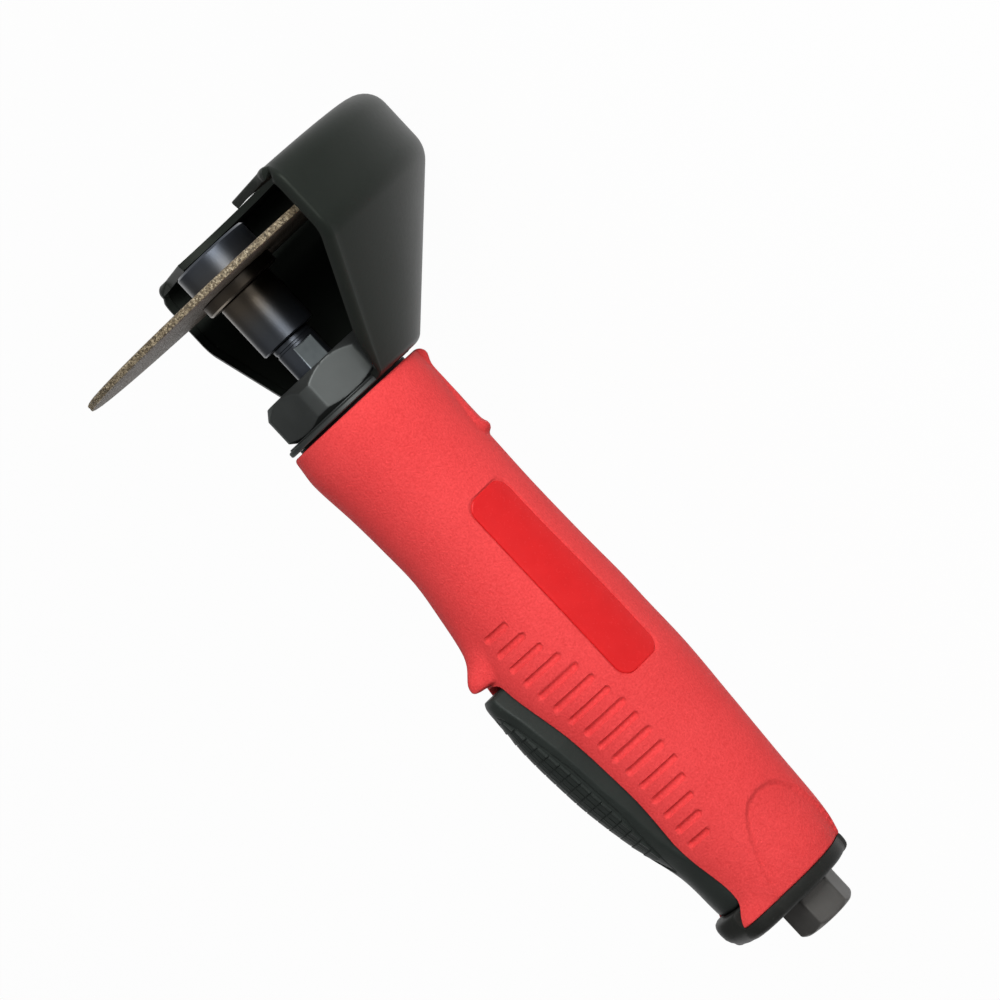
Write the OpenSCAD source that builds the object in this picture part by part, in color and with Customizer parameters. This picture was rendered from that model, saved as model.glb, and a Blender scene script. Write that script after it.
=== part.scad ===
// In-line pneumatic cut-off tool with a half-cup wheel guard and a lever throttle.
// Millimetres. The tool's axis is X: the mouth of the air inlet is at x = 0 and the wheel is at the +X end.
// The throttle lever lies on the +Z side, and the guard covers the -Z half of the wheel.

/* [Wheel] */
// Diameter of the cut-off wheel
wheel_d = 101.6; // [76:0.2:104]
// Thickness of the cut-off wheel
wheel_t = 2.4; // [1.2:0.1:3.2]
// Diameter of the wheel's arbor hole
arbor_d = 9.6; // [9.5:0.05:10]

/* [Flanges and spindle] */
// Diameter of the two clamping flanges
flange_d = 23; // [20:0.5:28]
// Thickness of the inner flange
inner_flange_t = 3; // [2:0.2:4]
// Thickness of the outer flange
outer_flange_t = 7.4; // [6.6:0.2:9]
// Diameter of the arbor spacer
spacer_d = 16.8; // [14:0.2:19]
// Length of the arbor spacer
spacer_len = 17; // [12:0.5:22]
// Diameter of the spindle at the front bearing
spindle_d = 12; // [11.6:0.1:12.4]
// Bare length of the spindle ahead of the clamp nut
neck_len = 11; // [9:0.5:14]
// Width across the spindle's wrench flats
wrench_flat_w = 10; // [9:0.2:11]
// Length of the wrench flats
wrench_flat_len = 6.8; // [5:0.2:8]
// Diameter of the wheel screw's head
screw_head_d = 10; // [9:0.2:11]
// Height of the wheel screw's head
screw_head_h = 4.6; // [4:0.2:5]
// Diameter of the wheel screw's shank
screw_d = 6; // [5:0.1:6.4]
// Length of the wheel screw under its head
screw_len = 18; // [14:1:22]

/* [Guard] */
// Radial gap between the wheel and the guard's rim band
guard_wheel_gap = 7.8; // [5:0.2:12]
// Axial width of the rim band
guard_band_w = 22; // [18:0.5:26]
// Sheet thickness of the guard
guard_wall = 2; // [1.5:0.1:2.4]
// Inner radius of the guard's front plate
guard_window_r = 29; // [24:0.5:34]
// Radius of the cone where it meets the base plate
guard_base_r = 24.6; // [23.6:0.1:26]
// Angle that the cup wraps round the wheel
guard_wrap = 176; // [160:1:178]
// Bend radius between the band and the front plate
guard_front_bend = 7; // [5:0.2:9]
// Bend radius between the band and the cone
guard_rear_bend = 9; // [6:0.2:11]
// Gap between the outer flange and the front plate
guard_front_gap = 1.4; // [0.8:0.1:3]

/* [Clamp nut] */
// Width across the flats of the clamp nut
nut_af = 35; // [34.4:0.1:36]
// Length of the clamp nut's hexagon
nut_len = 10.4; // [8:0.2:13]
// Thickness of the lock washer under the nut
washer_t = 1.4; // [1:0.1:2]
// Diameter of the nut's threaded shank
nut_thread_d = 33.5; // [33.2:0.1:33.8]

/* [Grip] */
// Length of the moulded grip
grip_len = 168.7; // [160:0.5:180]
// Nominal radius that the grip's sections follow
grip_r = 22; // [21.6:0.1:23]
// Height of the finger lip ahead of the lever
lip_h = 4.2; // [2:0.2:6]
// Length of the finger lip along the grip
lip_len = 8; // [6:0.5:11]
// Height of the raised pad on the back of the neck
back_pad_h = 0.9; // [0.4:0.1:1.4]
// Length of the raised back pad
back_pad_len = 29; // [20:1:34]
// Depth of the thumb scoops beside the inlet
scoop_depth = 1.3; // [0.6:0.1:1.8]
// Length of the label recess
label_len = 61; // [50:1:66]
// Angle that the label recess spans round the grip
label_span = 42; // [34:1:48]
// Depth of the label recess
label_depth = 0.8; // [0.5:0.1:1.1]
// Thickness of the label plate
label_t = 0.4; // [0.2:0.1:0.4]

/* [Housing] */
// Outer diameter of the housing round the motor
bay_d = 36.6; // [36.2:0.1:37]
// Diameter of the motor bay's bore
bay_bore_d = 32.4; // [32:0.1:32.8]
// Depth of the motor bay from the front face
bay_depth = 73; // [70:0.5:76]
// Thickness of the wall behind the motor bay
bay_wall = 5; // [4:0.5:6]
// Depth of the flat on top of the housing's rear block
block_flat_h = 0.35; // [0.2:0.05:0.6]

/* [End cap and inlet] */
// Thickness of the end cap
cap_t = 5; // [4:0.2:7]
// Length of the end cap's heel into the lever slot
heel_len = 6.2; // [5:0.2:8]
// Thickness of the exhaust felt
felt_t = 4; // [3:0.2:6]
// Width across the flats of the inlet bushing
inlet_af = 16; // [15.6:0.1:17]
// Length of the inlet bushing's hexagon
inlet_hex_len = 9.3; // [8:0.1:12]
// Diameter of the inlet's pipe thread bore
inlet_bore_d = 11.8; // [11.2:0.1:12.2]
// Depth of the inlet's pipe thread bore
inlet_bore_len = 13; // [11:0.5:15]
// Diameter of the bushing's threaded shank
inlet_shank_d = 14.8; // [14.4:0.1:15.4]
// Length of the bushing's threaded shank
inlet_shank_len = 20.7; // [18:0.1:22]
// Diameter of the air passages
passage_d = 7; // [5:0.2:7.4]

/* [Lever] */
// Reach of the lever from its pivot to its tip
lever_reach = 78; // [70:0.5:80]
// Width of the lever
lever_w = 18; // [16:0.2:19]
// Height of the lever's crown above the pivot
lever_crown_h = 12.9; // [12.4:0.1:13.6]
// Wall thickness of the lever
lever_wall = 2; // [1.6:0.1:2.4]
// Height of the pivot above the tool's axis
pivot_z = 15.7; // [15.4:0.1:16]
// Diameter of the lever's pivot pin
pivot_pin_d = 2.5; // [2:0.1:2.8]
// Angle that the lever turns through when it is pressed
lever_travel_deg = 5.5; // [4:0.1:5.5]

/* [Throttle valve] */
// Distance of the valve ahead of the lever's pivot
valve_reach = 31; // [28:0.5:34]
// Outer diameter of the valve bushing
valve_bush_d = 12; // [11.4:0.1:12.4]
// Diameter of the valve stem
valve_stem_d = 4; // [3:0.1:4.4]
// Diameter of the valve head
valve_head_d = 8.6; // [8.2:0.1:8.8]
// Thickness of the valve head
valve_head_t = 2.9; // [2.2:0.1:3.2]
// Wire diameter of the throttle spring
spring_wire_d = 0.6; // [0.4:0.05:0.7]
// Outer diameter of the throttle spring
spring_d = 7; // [6:0.1:7.6]
// Thickness of the valve's screw plug
plug_t = 2.4; // [2:0.1:2.6]

/* [Motor] */
// Thickness of the rear end plate
rear_plate_t = 8; // [7.2:0.2:9]
// Thickness of the front end plate
front_plate_t = 11; // [10:0.2:12]
// Length of the motor's cylinder
cylinder_len = 40; // [36:0.5:42]
// Diameter of the cylinder's eccentric bore
cylinder_bore_d = 26.2; // [25.8:0.1:26.6]
// Eccentric offset of the cylinder's bore
cylinder_offset = 0.9; // [0.7:0.05:1]
// Diameter of the rotor
rotor_d = 24; // [23:0.1:24.1]
// Number of vanes in the rotor
vane_count = 5; // [4:1:6]
// Thickness of a vane
vane_t = 1.6; // [1.2:0.1:2]
// Depth of a vane slot
vane_slot_depth = 5.6; // [4.5:0.1:6]
// Outer diameter of the front bearing
front_bearing_d = 28; // [27:0.2:28.4]
// Width of the front bearing
front_bearing_w = 8; // [7:0.2:8.4]
// Outer diameter of the rear bearing
rear_bearing_d = 19; // [18.4:0.2:20]
// Bore of the rear bearing
rear_bearing_bore = 7; // [6.6:0.1:7.4]
// Width of the rear bearing
rear_bearing_w = 6; // [5:0.2:6.4]
// Number of balls in each bearing
ball_count = 8; // [6:1:8]

/* [Fits] */
// Radial gap of a piece fixed in its seat
fit_gap = 0.05; // [0.02:0.01:0.08]
// Radial gap of a shaft that turns or slides in its hole
run_gap = 0.06; // [0.03:0.01:0.1]
// Gap round a piece that moves freely
free_gap = 0.4; // [0.3:0.05:0.5]

/* [Hidden] */
$fn = 64;

// Overrun of every cut past the face that it opens.
cut_over = 1;
// Edge break on turned and hexagonal pieces.
edge_break = 0.5;

// Places along the axis, from the inlet's mouth to the guard's front plate.
x_cap = inlet_hex_len;
x_grip = x_cap + cap_t;
x_block = x_grip + felt_t;
x_front = x_grip + grip_len + free_gap;
x_grip_front = x_grip + grip_len;
x_washer = x_front + guard_wall;
x_nut = x_washer + washer_t;
x_nut_front = x_nut + nut_len;
x_spacer = x_nut_front + neck_len;
x_inner_flange = x_spacer + spacer_len;
x_wheel = x_inner_flange + inner_flange_t;
x_outer_flange = x_wheel + wheel_t;
x_outer_front = x_outer_flange + outer_flange_t;
x_guard_front = x_outer_front + guard_front_gap + guard_wall;

// Places of the motor, stacked forward from the wall behind its bay.
x_bay = x_front - bay_depth;
x_cylinder = x_bay + rear_plate_t;
x_front_plate = x_cylinder + cylinder_len;
x_stack_end = x_front_plate + front_plate_t;
x_front_bearing = x_stack_end - front_bearing_w;
bay_bore_r = bay_bore_d / 2;
stack_r = bay_bore_r - fit_gap;
nut_thread_r = nut_thread_d / 2;
spindle_r = spindle_d / 2;
rear_journal_r = rear_bearing_bore / 2 - fit_gap;
rotor_end_gap = run_gap;

// Places of the lever, its pivot and the valve below it.
heel_half_w = lever_w / 2 + free_gap / 2;
slot_half_w = lever_w / 2 + 1.5 * free_gap;
lever_tail = 3.5;
lug_r = 2.5;
lug_half_w = 2.9;
x_heel = x_grip + heel_len;
x_pivot = x_heel + free_gap + lever_tail;
x_lever_tip = x_pivot + lever_reach;
x_slot_end = x_lever_tip + 3 * free_gap;
x_valve = x_pivot + valve_reach;
// Lower edge of the lever's skirts: share of the reach, then of the crown height above the pivot.
lever_skirt_shares = [
    [1.00, 0.42], [0.70, 0.33], [0.40, 0.23], [0.15, 0.14], [0.05, -0.12], [-0.02, -0.14]
];
// Slot floor just below the lever's tip at the end of its travel, and the block's flat under it.
slot_floor_z = pivot_z + lever_skirt_shares[0][1] * lever_crown_h * cos(lever_travel_deg)
    - lever_reach * sin(lever_travel_deg) - free_gap;
block_top_z = slot_floor_z - fit_gap;
block_r = block_top_z + block_flat_h;

// Turns a piece drawn along Z so that it lies along X.
module along_x(x) {
    translate([x, 0, 0]) rotate([0, 90, 0]) children();
}

// Round bar along X from x0 to x1.
module bar_x(x0, x1, r) {
    along_x(x0) cylinder(h = x1 - x0, r = r);
}

// Tube along X from x0 to x1.
module tube_x(x0, x1, r_out, r_in) {
    difference() {
        bar_x(x0, x1, r_out);
        bar_x(x0 - cut_over, x1 + cut_over, r_in);
    }
}

// Solid of revolution about X, from an outline of [radius, x] points.
module turned_x(outline) {
    rotate([0, 90, 0]) rotate_extrude() polygon(outline);
}

// Side outline of [x, z] points, made a slab centred on y = 0.
module side_slab(outline, width) {
    translate([0, width / 2, 0]) rotate([90, 0, 0]) linear_extrude(width) polygon(outline);
}

// Hexagonal bar along X with both ends chamfered by 30 degree cones.
module hex_bar_x(x0, x1, across_flats, chamfer_from, turn) {
    corner_r = across_flats / 2 / cos(30);
    rise = (corner_r - chamfer_from) * tan(30);
    intersection() {
        along_x(x0) rotate([0, 0, turn]) cylinder(h = x1 - x0, r = corner_r, $fn = 6);
        turned_x([
            [0, x0], [chamfer_from, x0], [corner_r, x0 + rise],
            [corner_r, x1 - rise], [chamfer_from, x1], [0, x1]
        ]);
    }
}

// Points of an arc in the plane, about a centre.
function arc(centre, r, from, to, steps) = [
    for (i = [0:steps]) let (a = from + (to - from) * i / steps) centre + r * [cos(a), sin(a)]
];

// Smooth bell from 0 to 1 and back over the span from -1 to 1.
function bell(t) = abs(t) >= 1 ? 0 : pow(cos(90 * t), 2);

// Smooth step from 0 at t = 0 to 1 at t = 1.
function smooth_step(t) = let (k = max(0, min(1, t))) k * k * (3 - 2 * k);

// Value of column c in a table of shares, by cubic curves through its rows.
function table_row(table, t, i = 0) =
    i >= len(table) - 2 || t < table[i + 1][0] ? i : table_row(table, t, i + 1);
function table_slope(table, i, c) =
    let (lo = max(0, i - 1), hi = min(len(table) - 1, i + 1))
    (table[hi][c] - table[lo][c]) / (table[hi][0] - table[lo][0]);
function table_curve(table, t, c) =
    let (
        i = table_row(table, t),
        span = table[i + 1][0] - table[i][0],
        k = (t - table[i][0]) / span
    )
    (2 * k * k * k - 3 * k * k + 1) * table[i][c]
    + (k * k * k - 2 * k * k + k) * span * table_slope(table, i, c)
    + (3 * k * k - 2 * k * k * k) * table[i + 1][c]
    + (k * k * k - k * k) * span * table_slope(table, i + 1, c);

// Grip sections: share of the length from the rear, then the back, side and lever
// half-axes as shares of the nominal radius.
grip_section_shares = [
    [0.000, 0.79, 0.78, 0.95], [0.030, 0.83, 0.82, 0.97], [0.070, 0.85, 0.84, 0.98],
    [0.150, 0.88, 0.87, 1.02], [0.270, 0.93, 0.91, 1.05], [0.380, 0.98, 0.95, 1.10],
    [0.470, 0.98, 0.96, 1.16], [0.530, 0.98, 0.96, 1.15], [0.590, 0.96, 0.95, 1.06],
    [0.650, 0.95, 0.93, 1.01], [0.730, 0.94, 0.92, 0.92], [0.800, 0.95, 0.93, 0.92],
    [0.870, 0.97, 0.96, 0.96], [0.950, 1.00, 1.00, 1.01], [0.985, 1.00, 1.00, 1.00],
    [1.000, 0.97, 0.97, 0.97]
];
// Rear end of the label recess, and the angle of its middle, 180 being the -Y side.
label_rear_share = 0.408;
label_mid_deg = 190;
// Front end of the raised back pad.
back_pad_front_share = 0.985;
// Thumb scoops: how far they reach forward and where they are deepest.
scoop_reach_share = 0.135;
scoop_mid_deg = 196;
scoop_half_deg = 46;

x_label = x_grip + grip_len * label_rear_share;
label_from_deg = label_mid_deg - label_span / 2;
label_to_deg = label_mid_deg + label_span / 2;
recess_edge = label_depth / 2;
recess_edge_deg = recess_edge / grip_r * 180 / PI;
x_lip = x_slot_end + lip_len / 2;
back_pad_mid_x = x_grip + grip_len * back_pad_front_share - back_pad_len / 2;

function in_label(x, a) =
    x >= x_label - fit_gap && x <= x_label + label_len + fit_gap
    && a >= label_from_deg - recess_edge_deg / 4 && a <= label_to_deg + recess_edge_deg / 4;
// Angle of a point from the -Y side, mirrored so that both flanks are alike.
function flank_deg(a) = cos(a) > 0 ? 180 - a + (a > 180 ? 360 : 0) : a;
function scoop_at(x, a) =
    let (
        along = (x - x_grip) / (grip_len * scoop_reach_share),
        across = (flank_deg(a) - scoop_mid_deg) / scoop_half_deg
    )
    scoop_depth * smooth_step(3 * (1 - along * along - across * across));
function lip_at(x, a) = lip_h * bell((x - x_lip) / lip_len) * pow(max(0, sin(a)), 6);
function back_pad_at(x, a) =
    back_pad_h * smooth_step(6 * (1 - abs(x - back_pad_mid_x) / (back_pad_len / 2)))
    * pow(max(0, -sin(a)), 8);

// Radius of the grip's skin at a place along the axis and an angle from +Y towards +Z.
function grip_skin_r(x, a) =
    let (
        t = max(0, min(1, (x - x_grip) / grip_len)),
        side = grip_r * table_curve(grip_section_shares, t, 2),
        upright = grip_r * table_curve(grip_section_shares, t, sin(a) < 0 ? 1 : 3),
        plain = 1 / sqrt(pow(cos(a) / side, 2) + pow(sin(a) / upright, 2))
    )
    plain + lip_at(x, a) + back_pad_at(x, a) - scoop_at(x, a);

// Places that divide spans evenly, each span with its own count.
function divided(stops, counts) = [
    for (s = [0:len(counts) - 1]) for (i = [(s == 0 ? 0 : 1):counts[s]])
        stops[s] + (stops[s + 1] - stops[s]) * i / counts[s]
];
grip_xs = divided(
    [x_grip, x_grip + cap_t / 2, x_label - recess_edge, x_label, x_label + label_len,
        x_label + label_len + recess_edge, x_grip_front - cap_t / 2, x_grip_front],
    [2, 12, 1, 14, 1, 6, 2]
);
grip_angles = divided(
    [0, label_from_deg - recess_edge_deg, label_from_deg,
        label_to_deg, label_to_deg + recess_edge_deg, 360],
    [16, 1, 5, 1, 14]
);

// Closed skin through rings of points, each ring with the same count, in order along X.
// Both ends are closed by triangles that zigzag across the ring.
function zigzag(k, sides) = k % 2 == 0 ? k / 2 : sides - (k + 1) / 2;
function end_face(k, sides, base, flip) =
    let (a = base + zigzag(k, sides), b = base + zigzag(k + 1, sides), c = base + zigzag(k + 2, sides))
    (k % 2 == 0) == flip ? [a, b, c] : [a, c, b];
module ring_loft(rings) {
    sides = len(rings[0]);
    last = len(rings) - 1;
    polyhedron(
        points = [for (ring = rings) for (p = ring) p],
        faces = concat(
            [for (r = [0:last - 1]) for (i = [0:sides - 1]) let (j = (i + 1) % sides)
                each [
                    [r * sides + i, r * sides + j, (r + 1) * sides + j],
                    [r * sides + i, (r + 1) * sides + j, (r + 1) * sides + i]
                ]],
            [for (k = [0:sides - 3]) end_face(k, sides, 0, true)],
            [for (k = [0:sides - 3]) end_face(k, sides, last * sides, false)]
        )
    );
}

// Ring of grip skin points at x, sunk below the skin by an inset.
function grip_ring(x, inset, angles) = [
    for (i = [0:len(angles) - 2]) let (
        a = angles[i],
        r = grip_skin_r(x, a) - inset - (in_label(x, a) ? label_depth : 0)
    ) [x, r * cos(a), r * sin(a)]
];

module lever_slot() {
    translate([x_grip - cut_over, -slot_half_w, slot_floor_z])
        cube([x_slot_end - x_grip + cut_over, 2 * slot_half_w, 2 * grip_r]);
}

// Moulded red grip over the housing, open along its +Z side for the lever.
module grip_sleeve() {
    color([0.85, 0.1, 0.12]) difference() {
        ring_loft([for (x = grip_xs) grip_ring(x, 0, grip_angles)]);
        bar_x(x_grip - cut_over, x_front, block_r + fit_gap);
        bar_x(x_bay - bay_wall - fit_gap, x_front + cut_over, bay_d / 2 + fit_gap);
        lever_slot();
    }
}

// Smooth label plate, bent to the grip and set in its recess.
label_steps = 12;
label_angle_steps = 6;
module label_plate() {
    inset_x = recess_edge / 2;
    inset_deg = recess_edge_deg / 2;
    span_x = label_len - 2 * inset_x;
    span_deg = label_span - 2 * inset_deg;
    function plate_point(x, j, sink) =
        let (
            a = label_from_deg + inset_deg + span_deg * j / label_angle_steps,
            r = grip_skin_r(x, a) - sink
        ) [x, r * cos(a), r * sin(a)];
    function plate_ring(x) = concat(
        [for (j = [0:label_angle_steps]) plate_point(x, j, label_depth - fit_gap - label_t)],
        [for (j = [label_angle_steps:-1:0]) plate_point(x, j, label_depth - fit_gap)]
    );
    color([0.8, 0.05, 0.06])
        ring_loft([for (i = [0:label_steps]) plate_ring(x_label + inset_x + span_x * i / label_steps)]);
}

// Valve bore and air passages inside the housing's rear block.
seat_z = -1;
// Step between the bushing's bore and the valve chamber below it.
seat_step = 1;
chamber_r = valve_bush_d / 2 - seat_step;
inlet_passage_z = -4.6;
outlet_passage_z = 2.6;
outlet_passage_d = 5.4;
valve_head_low_z = seat_z - fit_gap - valve_head_t;
bush_top_z = sqrt(block_r * block_r - valve_bush_d * valve_bush_d / 4) - fit_gap;
plug_low_z = -sqrt(block_r * block_r - chamber_r * chamber_r);
plug_top_z = plug_low_z + plug_t;
spring_len = valve_head_low_z - plug_top_z - 2 * fit_gap;
exhaust_hole_d = 3.6;
exhaust_y = 9.3;
exhaust_z = -5.8;
feed_slot_w = 4;
feed_z = 12.2;

module valve_bores() {
    translate([x_valve, 0, seat_z]) cylinder(h = 2 * block_r, r = valve_bush_d / 2);
    translate([x_valve, 0, -2 * block_r]) cylinder(h = 2 * block_r, r = chamber_r);
    translate([0, 0, inlet_passage_z])
        bar_x(x_cap + inlet_shank_len - fit_gap, x_valve, passage_d / 2);
    translate([0, 0, outlet_passage_z])
        bar_x(x_valve, x_bay + cut_over, outlet_passage_d / 2);
    translate([x_bay - bay_wall / 2, -feed_slot_w / 2, outlet_passage_z])
        cube([bay_wall / 2 + cut_over, feed_slot_w, feed_z + feed_slot_w / 2 - outlet_passage_z]);
    for (side = [-1, 1]) translate([0, side * exhaust_y, exhaust_z])
        bar_x(x_block - cut_over, x_bay + cut_over, exhaust_hole_d / 2);
}

// Shoulder of the bay's wall behind the rear bearing.
bearing_shoulder = 2;

// Cast housing: rear block with the valve bores, lug for the lever, and the motor bay in front.
module motor_housing() {
    color([0.62, 0.63, 0.65]) difference() {
        union() {
            difference() {
                bar_x(x_block, x_bay, block_r);
                translate([x_block - cut_over, -2 * block_r, block_top_z])
                    cube([x_slot_end - x_block + cut_over, 4 * block_r, 2 * block_r]);
            }
            bar_x(x_bay - bay_wall, x_front, bay_d / 2);
            translate([x_pivot, lug_half_w, pivot_z]) rotate([90, 0, 0])
                cylinder(h = 2 * lug_half_w, r = lug_r);
            translate([x_pivot - lug_r, -lug_half_w, 0]) cube([2 * lug_r, 2 * lug_half_w, pivot_z]);
        }
        bar_x(x_bay, x_front + cut_over, bay_bore_r);
        bar_x(x_stack_end, x_front + cut_over, nut_thread_r + fit_gap);
        bar_x(x_bay - bay_wall / 2, x_bay + cut_over, rear_bearing_d / 2 - bearing_shoulder);
        bar_x(x_block - cut_over, x_cap + inlet_shank_len + fit_gap, inlet_shank_d / 2 + fit_gap);
        valve_bores();
        translate([x_pivot, 2 * block_r, pivot_z]) rotate([90, 0, 0])
            cylinder(h = 4 * block_r, r = pivot_pin_d / 2 + run_gap);
    }
}

// Rear cap: a plate on the end of the grip, stepped in at its rear edge, with a heel behind the lever.
cap_taper = 1.6;
cap_sides = 40;
// Steps of the cap's rear edge: share of the thickness, and of the taper that is left there.
cap_step_shares = [[0, 1], [0.2, 0.45], [0.45, 0]];
cap_slot_count = 8;
cap_slot_d = 3.2;
cap_slot_ring_r = 10.6;
heel_top_z = 21.6;
heel_foot_z = 9;
heel_round = 3.5;
heel_round_steps = 8;
module end_cap() {
    plate_angles = divided([0, 360], [cap_sides]);
    x_heel_rear = x_cap + 2 * edge_break;
    color([0.09, 0.1, 0.1]) difference() {
        union() {
            for (step = cap_step_shares)
                translate([x_cap + cap_t * step[0], 0, 0]) rotate([90, 0, 90])
                    linear_extrude(cap_t * (1 - step[0])) polygon([
                        for (p = grip_ring(x_grip, cap_taper * step[1], plate_angles)) [p[1], p[2]]
                    ]);
            side_slab(concat(
                [[x_heel_rear, heel_foot_z]],
                arc([x_heel_rear + heel_round, heel_top_z - heel_round], heel_round,
                    180, 90, heel_round_steps),
                [[x_heel, heel_top_z], [x_heel, slot_floor_z + free_gap],
                    [x_grip - edge_break, slot_floor_z + free_gap], [x_grip - edge_break, heel_foot_z]]
            ), 2 * heel_half_w);
        }
        bar_x(x_cap - cut_over, x_grip + cut_over, inlet_shank_d / 2 + fit_gap);
        for (i = [0:cap_slot_count - 1])
            rotate([i * 360 / cap_slot_count + 180 / cap_slot_count, 0, 0])
                translate([0, 0, cap_slot_ring_r])
                    bar_x(x_cap - cut_over, x_grip + cut_over, cap_slot_d / 2);
    }
}

// Felt ring that quietens the exhaust behind the end cap.
module exhaust_felt() {
    color([0.45, 0.43, 0.4])
        tube_x(x_grip, x_block, block_r - fit_gap, inlet_shank_d / 2 + fit_gap);
}

// Hexagonal inlet bushing with a pipe thread bore, screwed into the housing.
inlet_turn_deg = 52;
o_ring_wire_d = 1.6;
o_ring_back = 3.4;
x_o_ring = x_cap + inlet_shank_len - o_ring_back;
o_ring_r = inlet_shank_d / 2 - o_ring_wire_d / 2 + fit_gap;
module inlet_bushing() {
    color([0.28, 0.27, 0.26]) difference() {
        union() {
            hex_bar_x(0, x_cap, inlet_af, inlet_af / 2, inlet_turn_deg);
            bar_x(x_cap - edge_break, x_cap + inlet_shank_len, inlet_shank_d / 2);
        }
        bar_x(-cut_over, inlet_bore_len, inlet_bore_d / 2);
        bar_x(0, x_cap + inlet_shank_len + cut_over, passage_d / 2 + edge_break);
        difference() {
            bar_x(x_o_ring - o_ring_wire_d, x_o_ring + o_ring_wire_d, inlet_shank_d / 2 + cut_over);
            bar_x(x_o_ring - 2 * o_ring_wire_d, x_o_ring + 2 * o_ring_wire_d,
                inlet_shank_d / 2 - o_ring_wire_d - fit_gap);
        }
    }
}

// Rubber ring that seals the bushing's shank in the housing.
module inlet_o_ring() {
    color([0.05, 0.05, 0.05]) along_x(x_o_ring) rotate_extrude()
        translate([o_ring_r - fit_gap, 0]) circle(d = o_ring_wire_d - 2 * fit_gap, $fn = 32);
}

// Perforated strainer disc behind the pipe thread.
screen_t = 1;
screen_hole_d = 1.4;
screen_ring_r = 2.4;
screen_holes = 6;
module inlet_screen() {
    x_screen = inlet_bore_len + edge_break;
    color([0.7, 0.66, 0.5]) difference() {
        bar_x(x_screen, x_screen + screen_t, passage_d / 2 + edge_break - fit_gap);
        bar_x(x_screen - cut_over, x_screen + screen_t + cut_over, screen_hole_d / 2);
        for (i = [0:screen_holes - 1]) rotate([i * 360 / screen_holes, 0, 0])
            translate([0, 0, screen_ring_r])
                bar_x(x_screen - cut_over, x_screen + screen_t + cut_over, screen_hole_d / 2);
    }
}

// Lever crown: share of the reach from the pivot, then the height as a share of the crown height.
lever_crown_shares = [
    [-0.045, 0.29], [0.00, 0.315], [0.06, 0.325], [0.115, 0.355], [0.17, 0.43], [0.22, 0.52], [0.27, 0.605],
    [0.32, 0.68], [0.42, 0.79], [0.53, 0.89], [0.63, 0.945], [0.73, 0.985], [0.81, 0.995], [0.885, 0.965],
    [0.94, 0.935], [0.985, 0.885], [1.00, 0.82]
];
lever_crown_steps = 28;
contact_rib_half_w = 3;
contact_gap = 0.3;
stem_tip_z = pivot_z + contact_gap + free_gap;

function lever_x(share) = x_pivot + share * lever_reach;
function lever_z(share) = pivot_z + share * lever_crown_h;
function lever_crown(inset) = [
    for (i = [0:lever_crown_steps]) let (
        first = lever_crown_shares[0][0],
        t = first + (1 - first) * i / lever_crown_steps,
        x = lever_x(t)
    ) [min(max(x, x_pivot - lever_tail + inset), x_lever_tip - inset),
        lever_z(table_curve(lever_crown_shares, t, 1)) - inset]
];
lever_skirt = [for (row = lever_skirt_shares) [min(lever_x(row[0]), x_lever_tip), lever_z(row[1])]];

// Channel-section lever, with bosses for the pivot pin and a rib that meets the valve stem.
module throttle_lever() {
    color([0.12, 0.14, 0.14]) difference() {
        union() {
            difference() {
                side_slab(concat(lever_crown(0), lever_skirt), lever_w);
                side_slab(concat(lever_crown(lever_wall),
                    [[x_lever_tip - lever_wall, 0], [x_pivot - lever_tail + lever_wall, 0]]),
                    lever_w - 2 * lever_wall);
            }
            for (side = [-1, 1])
                translate([x_pivot, side * (lever_w / 2 - edge_break), pivot_z]) rotate([side * 90, 0, 0])
                    cylinder(h = lever_w / 2 - edge_break - lug_half_w - free_gap, r = lug_r - free_gap);
            translate([x_valve - contact_rib_half_w, -lever_w / 2 + edge_break, stem_tip_z + contact_gap])
                cube([2 * contact_rib_half_w, lever_w - 2 * edge_break,
                    lever_z(table_curve(lever_crown_shares, valve_reach / lever_reach, 1))
                    - lever_wall / 2 - stem_tip_z - contact_gap]);
        }
        translate([x_pivot, lever_w, pivot_z]) rotate([90, 0, 0])
            cylinder(h = 1.5 * lever_w - edge_break, r = pivot_pin_d / 2 + fit_gap);
        translate([x_pivot - lever_tail - cut_over, -lug_half_w - free_gap, 0])
            cube([lever_tail + lug_r + free_gap + cut_over, 2 * (lug_half_w + free_gap),
                pivot_z + lug_r + free_gap]);
    }
}

// Steel dowel that the lever turns on.
module lever_pin() {
    color([0.7, 0.7, 0.72])
        translate([x_pivot, lever_w / 2 - edge_break, pivot_z]) rotate([90, 0, 0])
            cylinder(h = lever_w - 2 * edge_break - fit_gap, r = pivot_pin_d / 2);
}

// Brass bushing that guides the valve stem and carries the valve's seat.
bush_guide_len = 5.5;
module valve_bushing() {
    color([0.78, 0.6, 0.28]) translate([x_valve, 0, 0]) difference() {
        translate([0, 0, seat_z]) cylinder(h = bush_top_z - seat_z, r = valve_bush_d / 2 - fit_gap);
        translate([0, 0, seat_z - cut_over]) cylinder(h = 2 * block_r, r = valve_stem_d / 2 + run_gap);
        translate([0, 0, seat_z - cut_over])
            cylinder(h = bush_top_z - seat_z - bush_guide_len + cut_over,
                r = valve_head_d / 2 - edge_break);
        translate([0, 0, outlet_passage_z]) rotate([0, 90, 0])
            cylinder(h = valve_bush_d, r = outlet_passage_d / 2);
    }
}

// Valve head and stem in one piece, closed upwards by the spring.
module valve_stem() {
    color([0.75, 0.75, 0.77]) translate([x_valve, 0, 0]) {
        translate([0, 0, valve_head_low_z]) cylinder(h = valve_head_t, r = valve_head_d / 2);
        translate([0, 0, valve_head_low_z])
            cylinder(h = stem_tip_z - valve_head_low_z, r = valve_stem_d / 2);
    }
}

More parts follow.
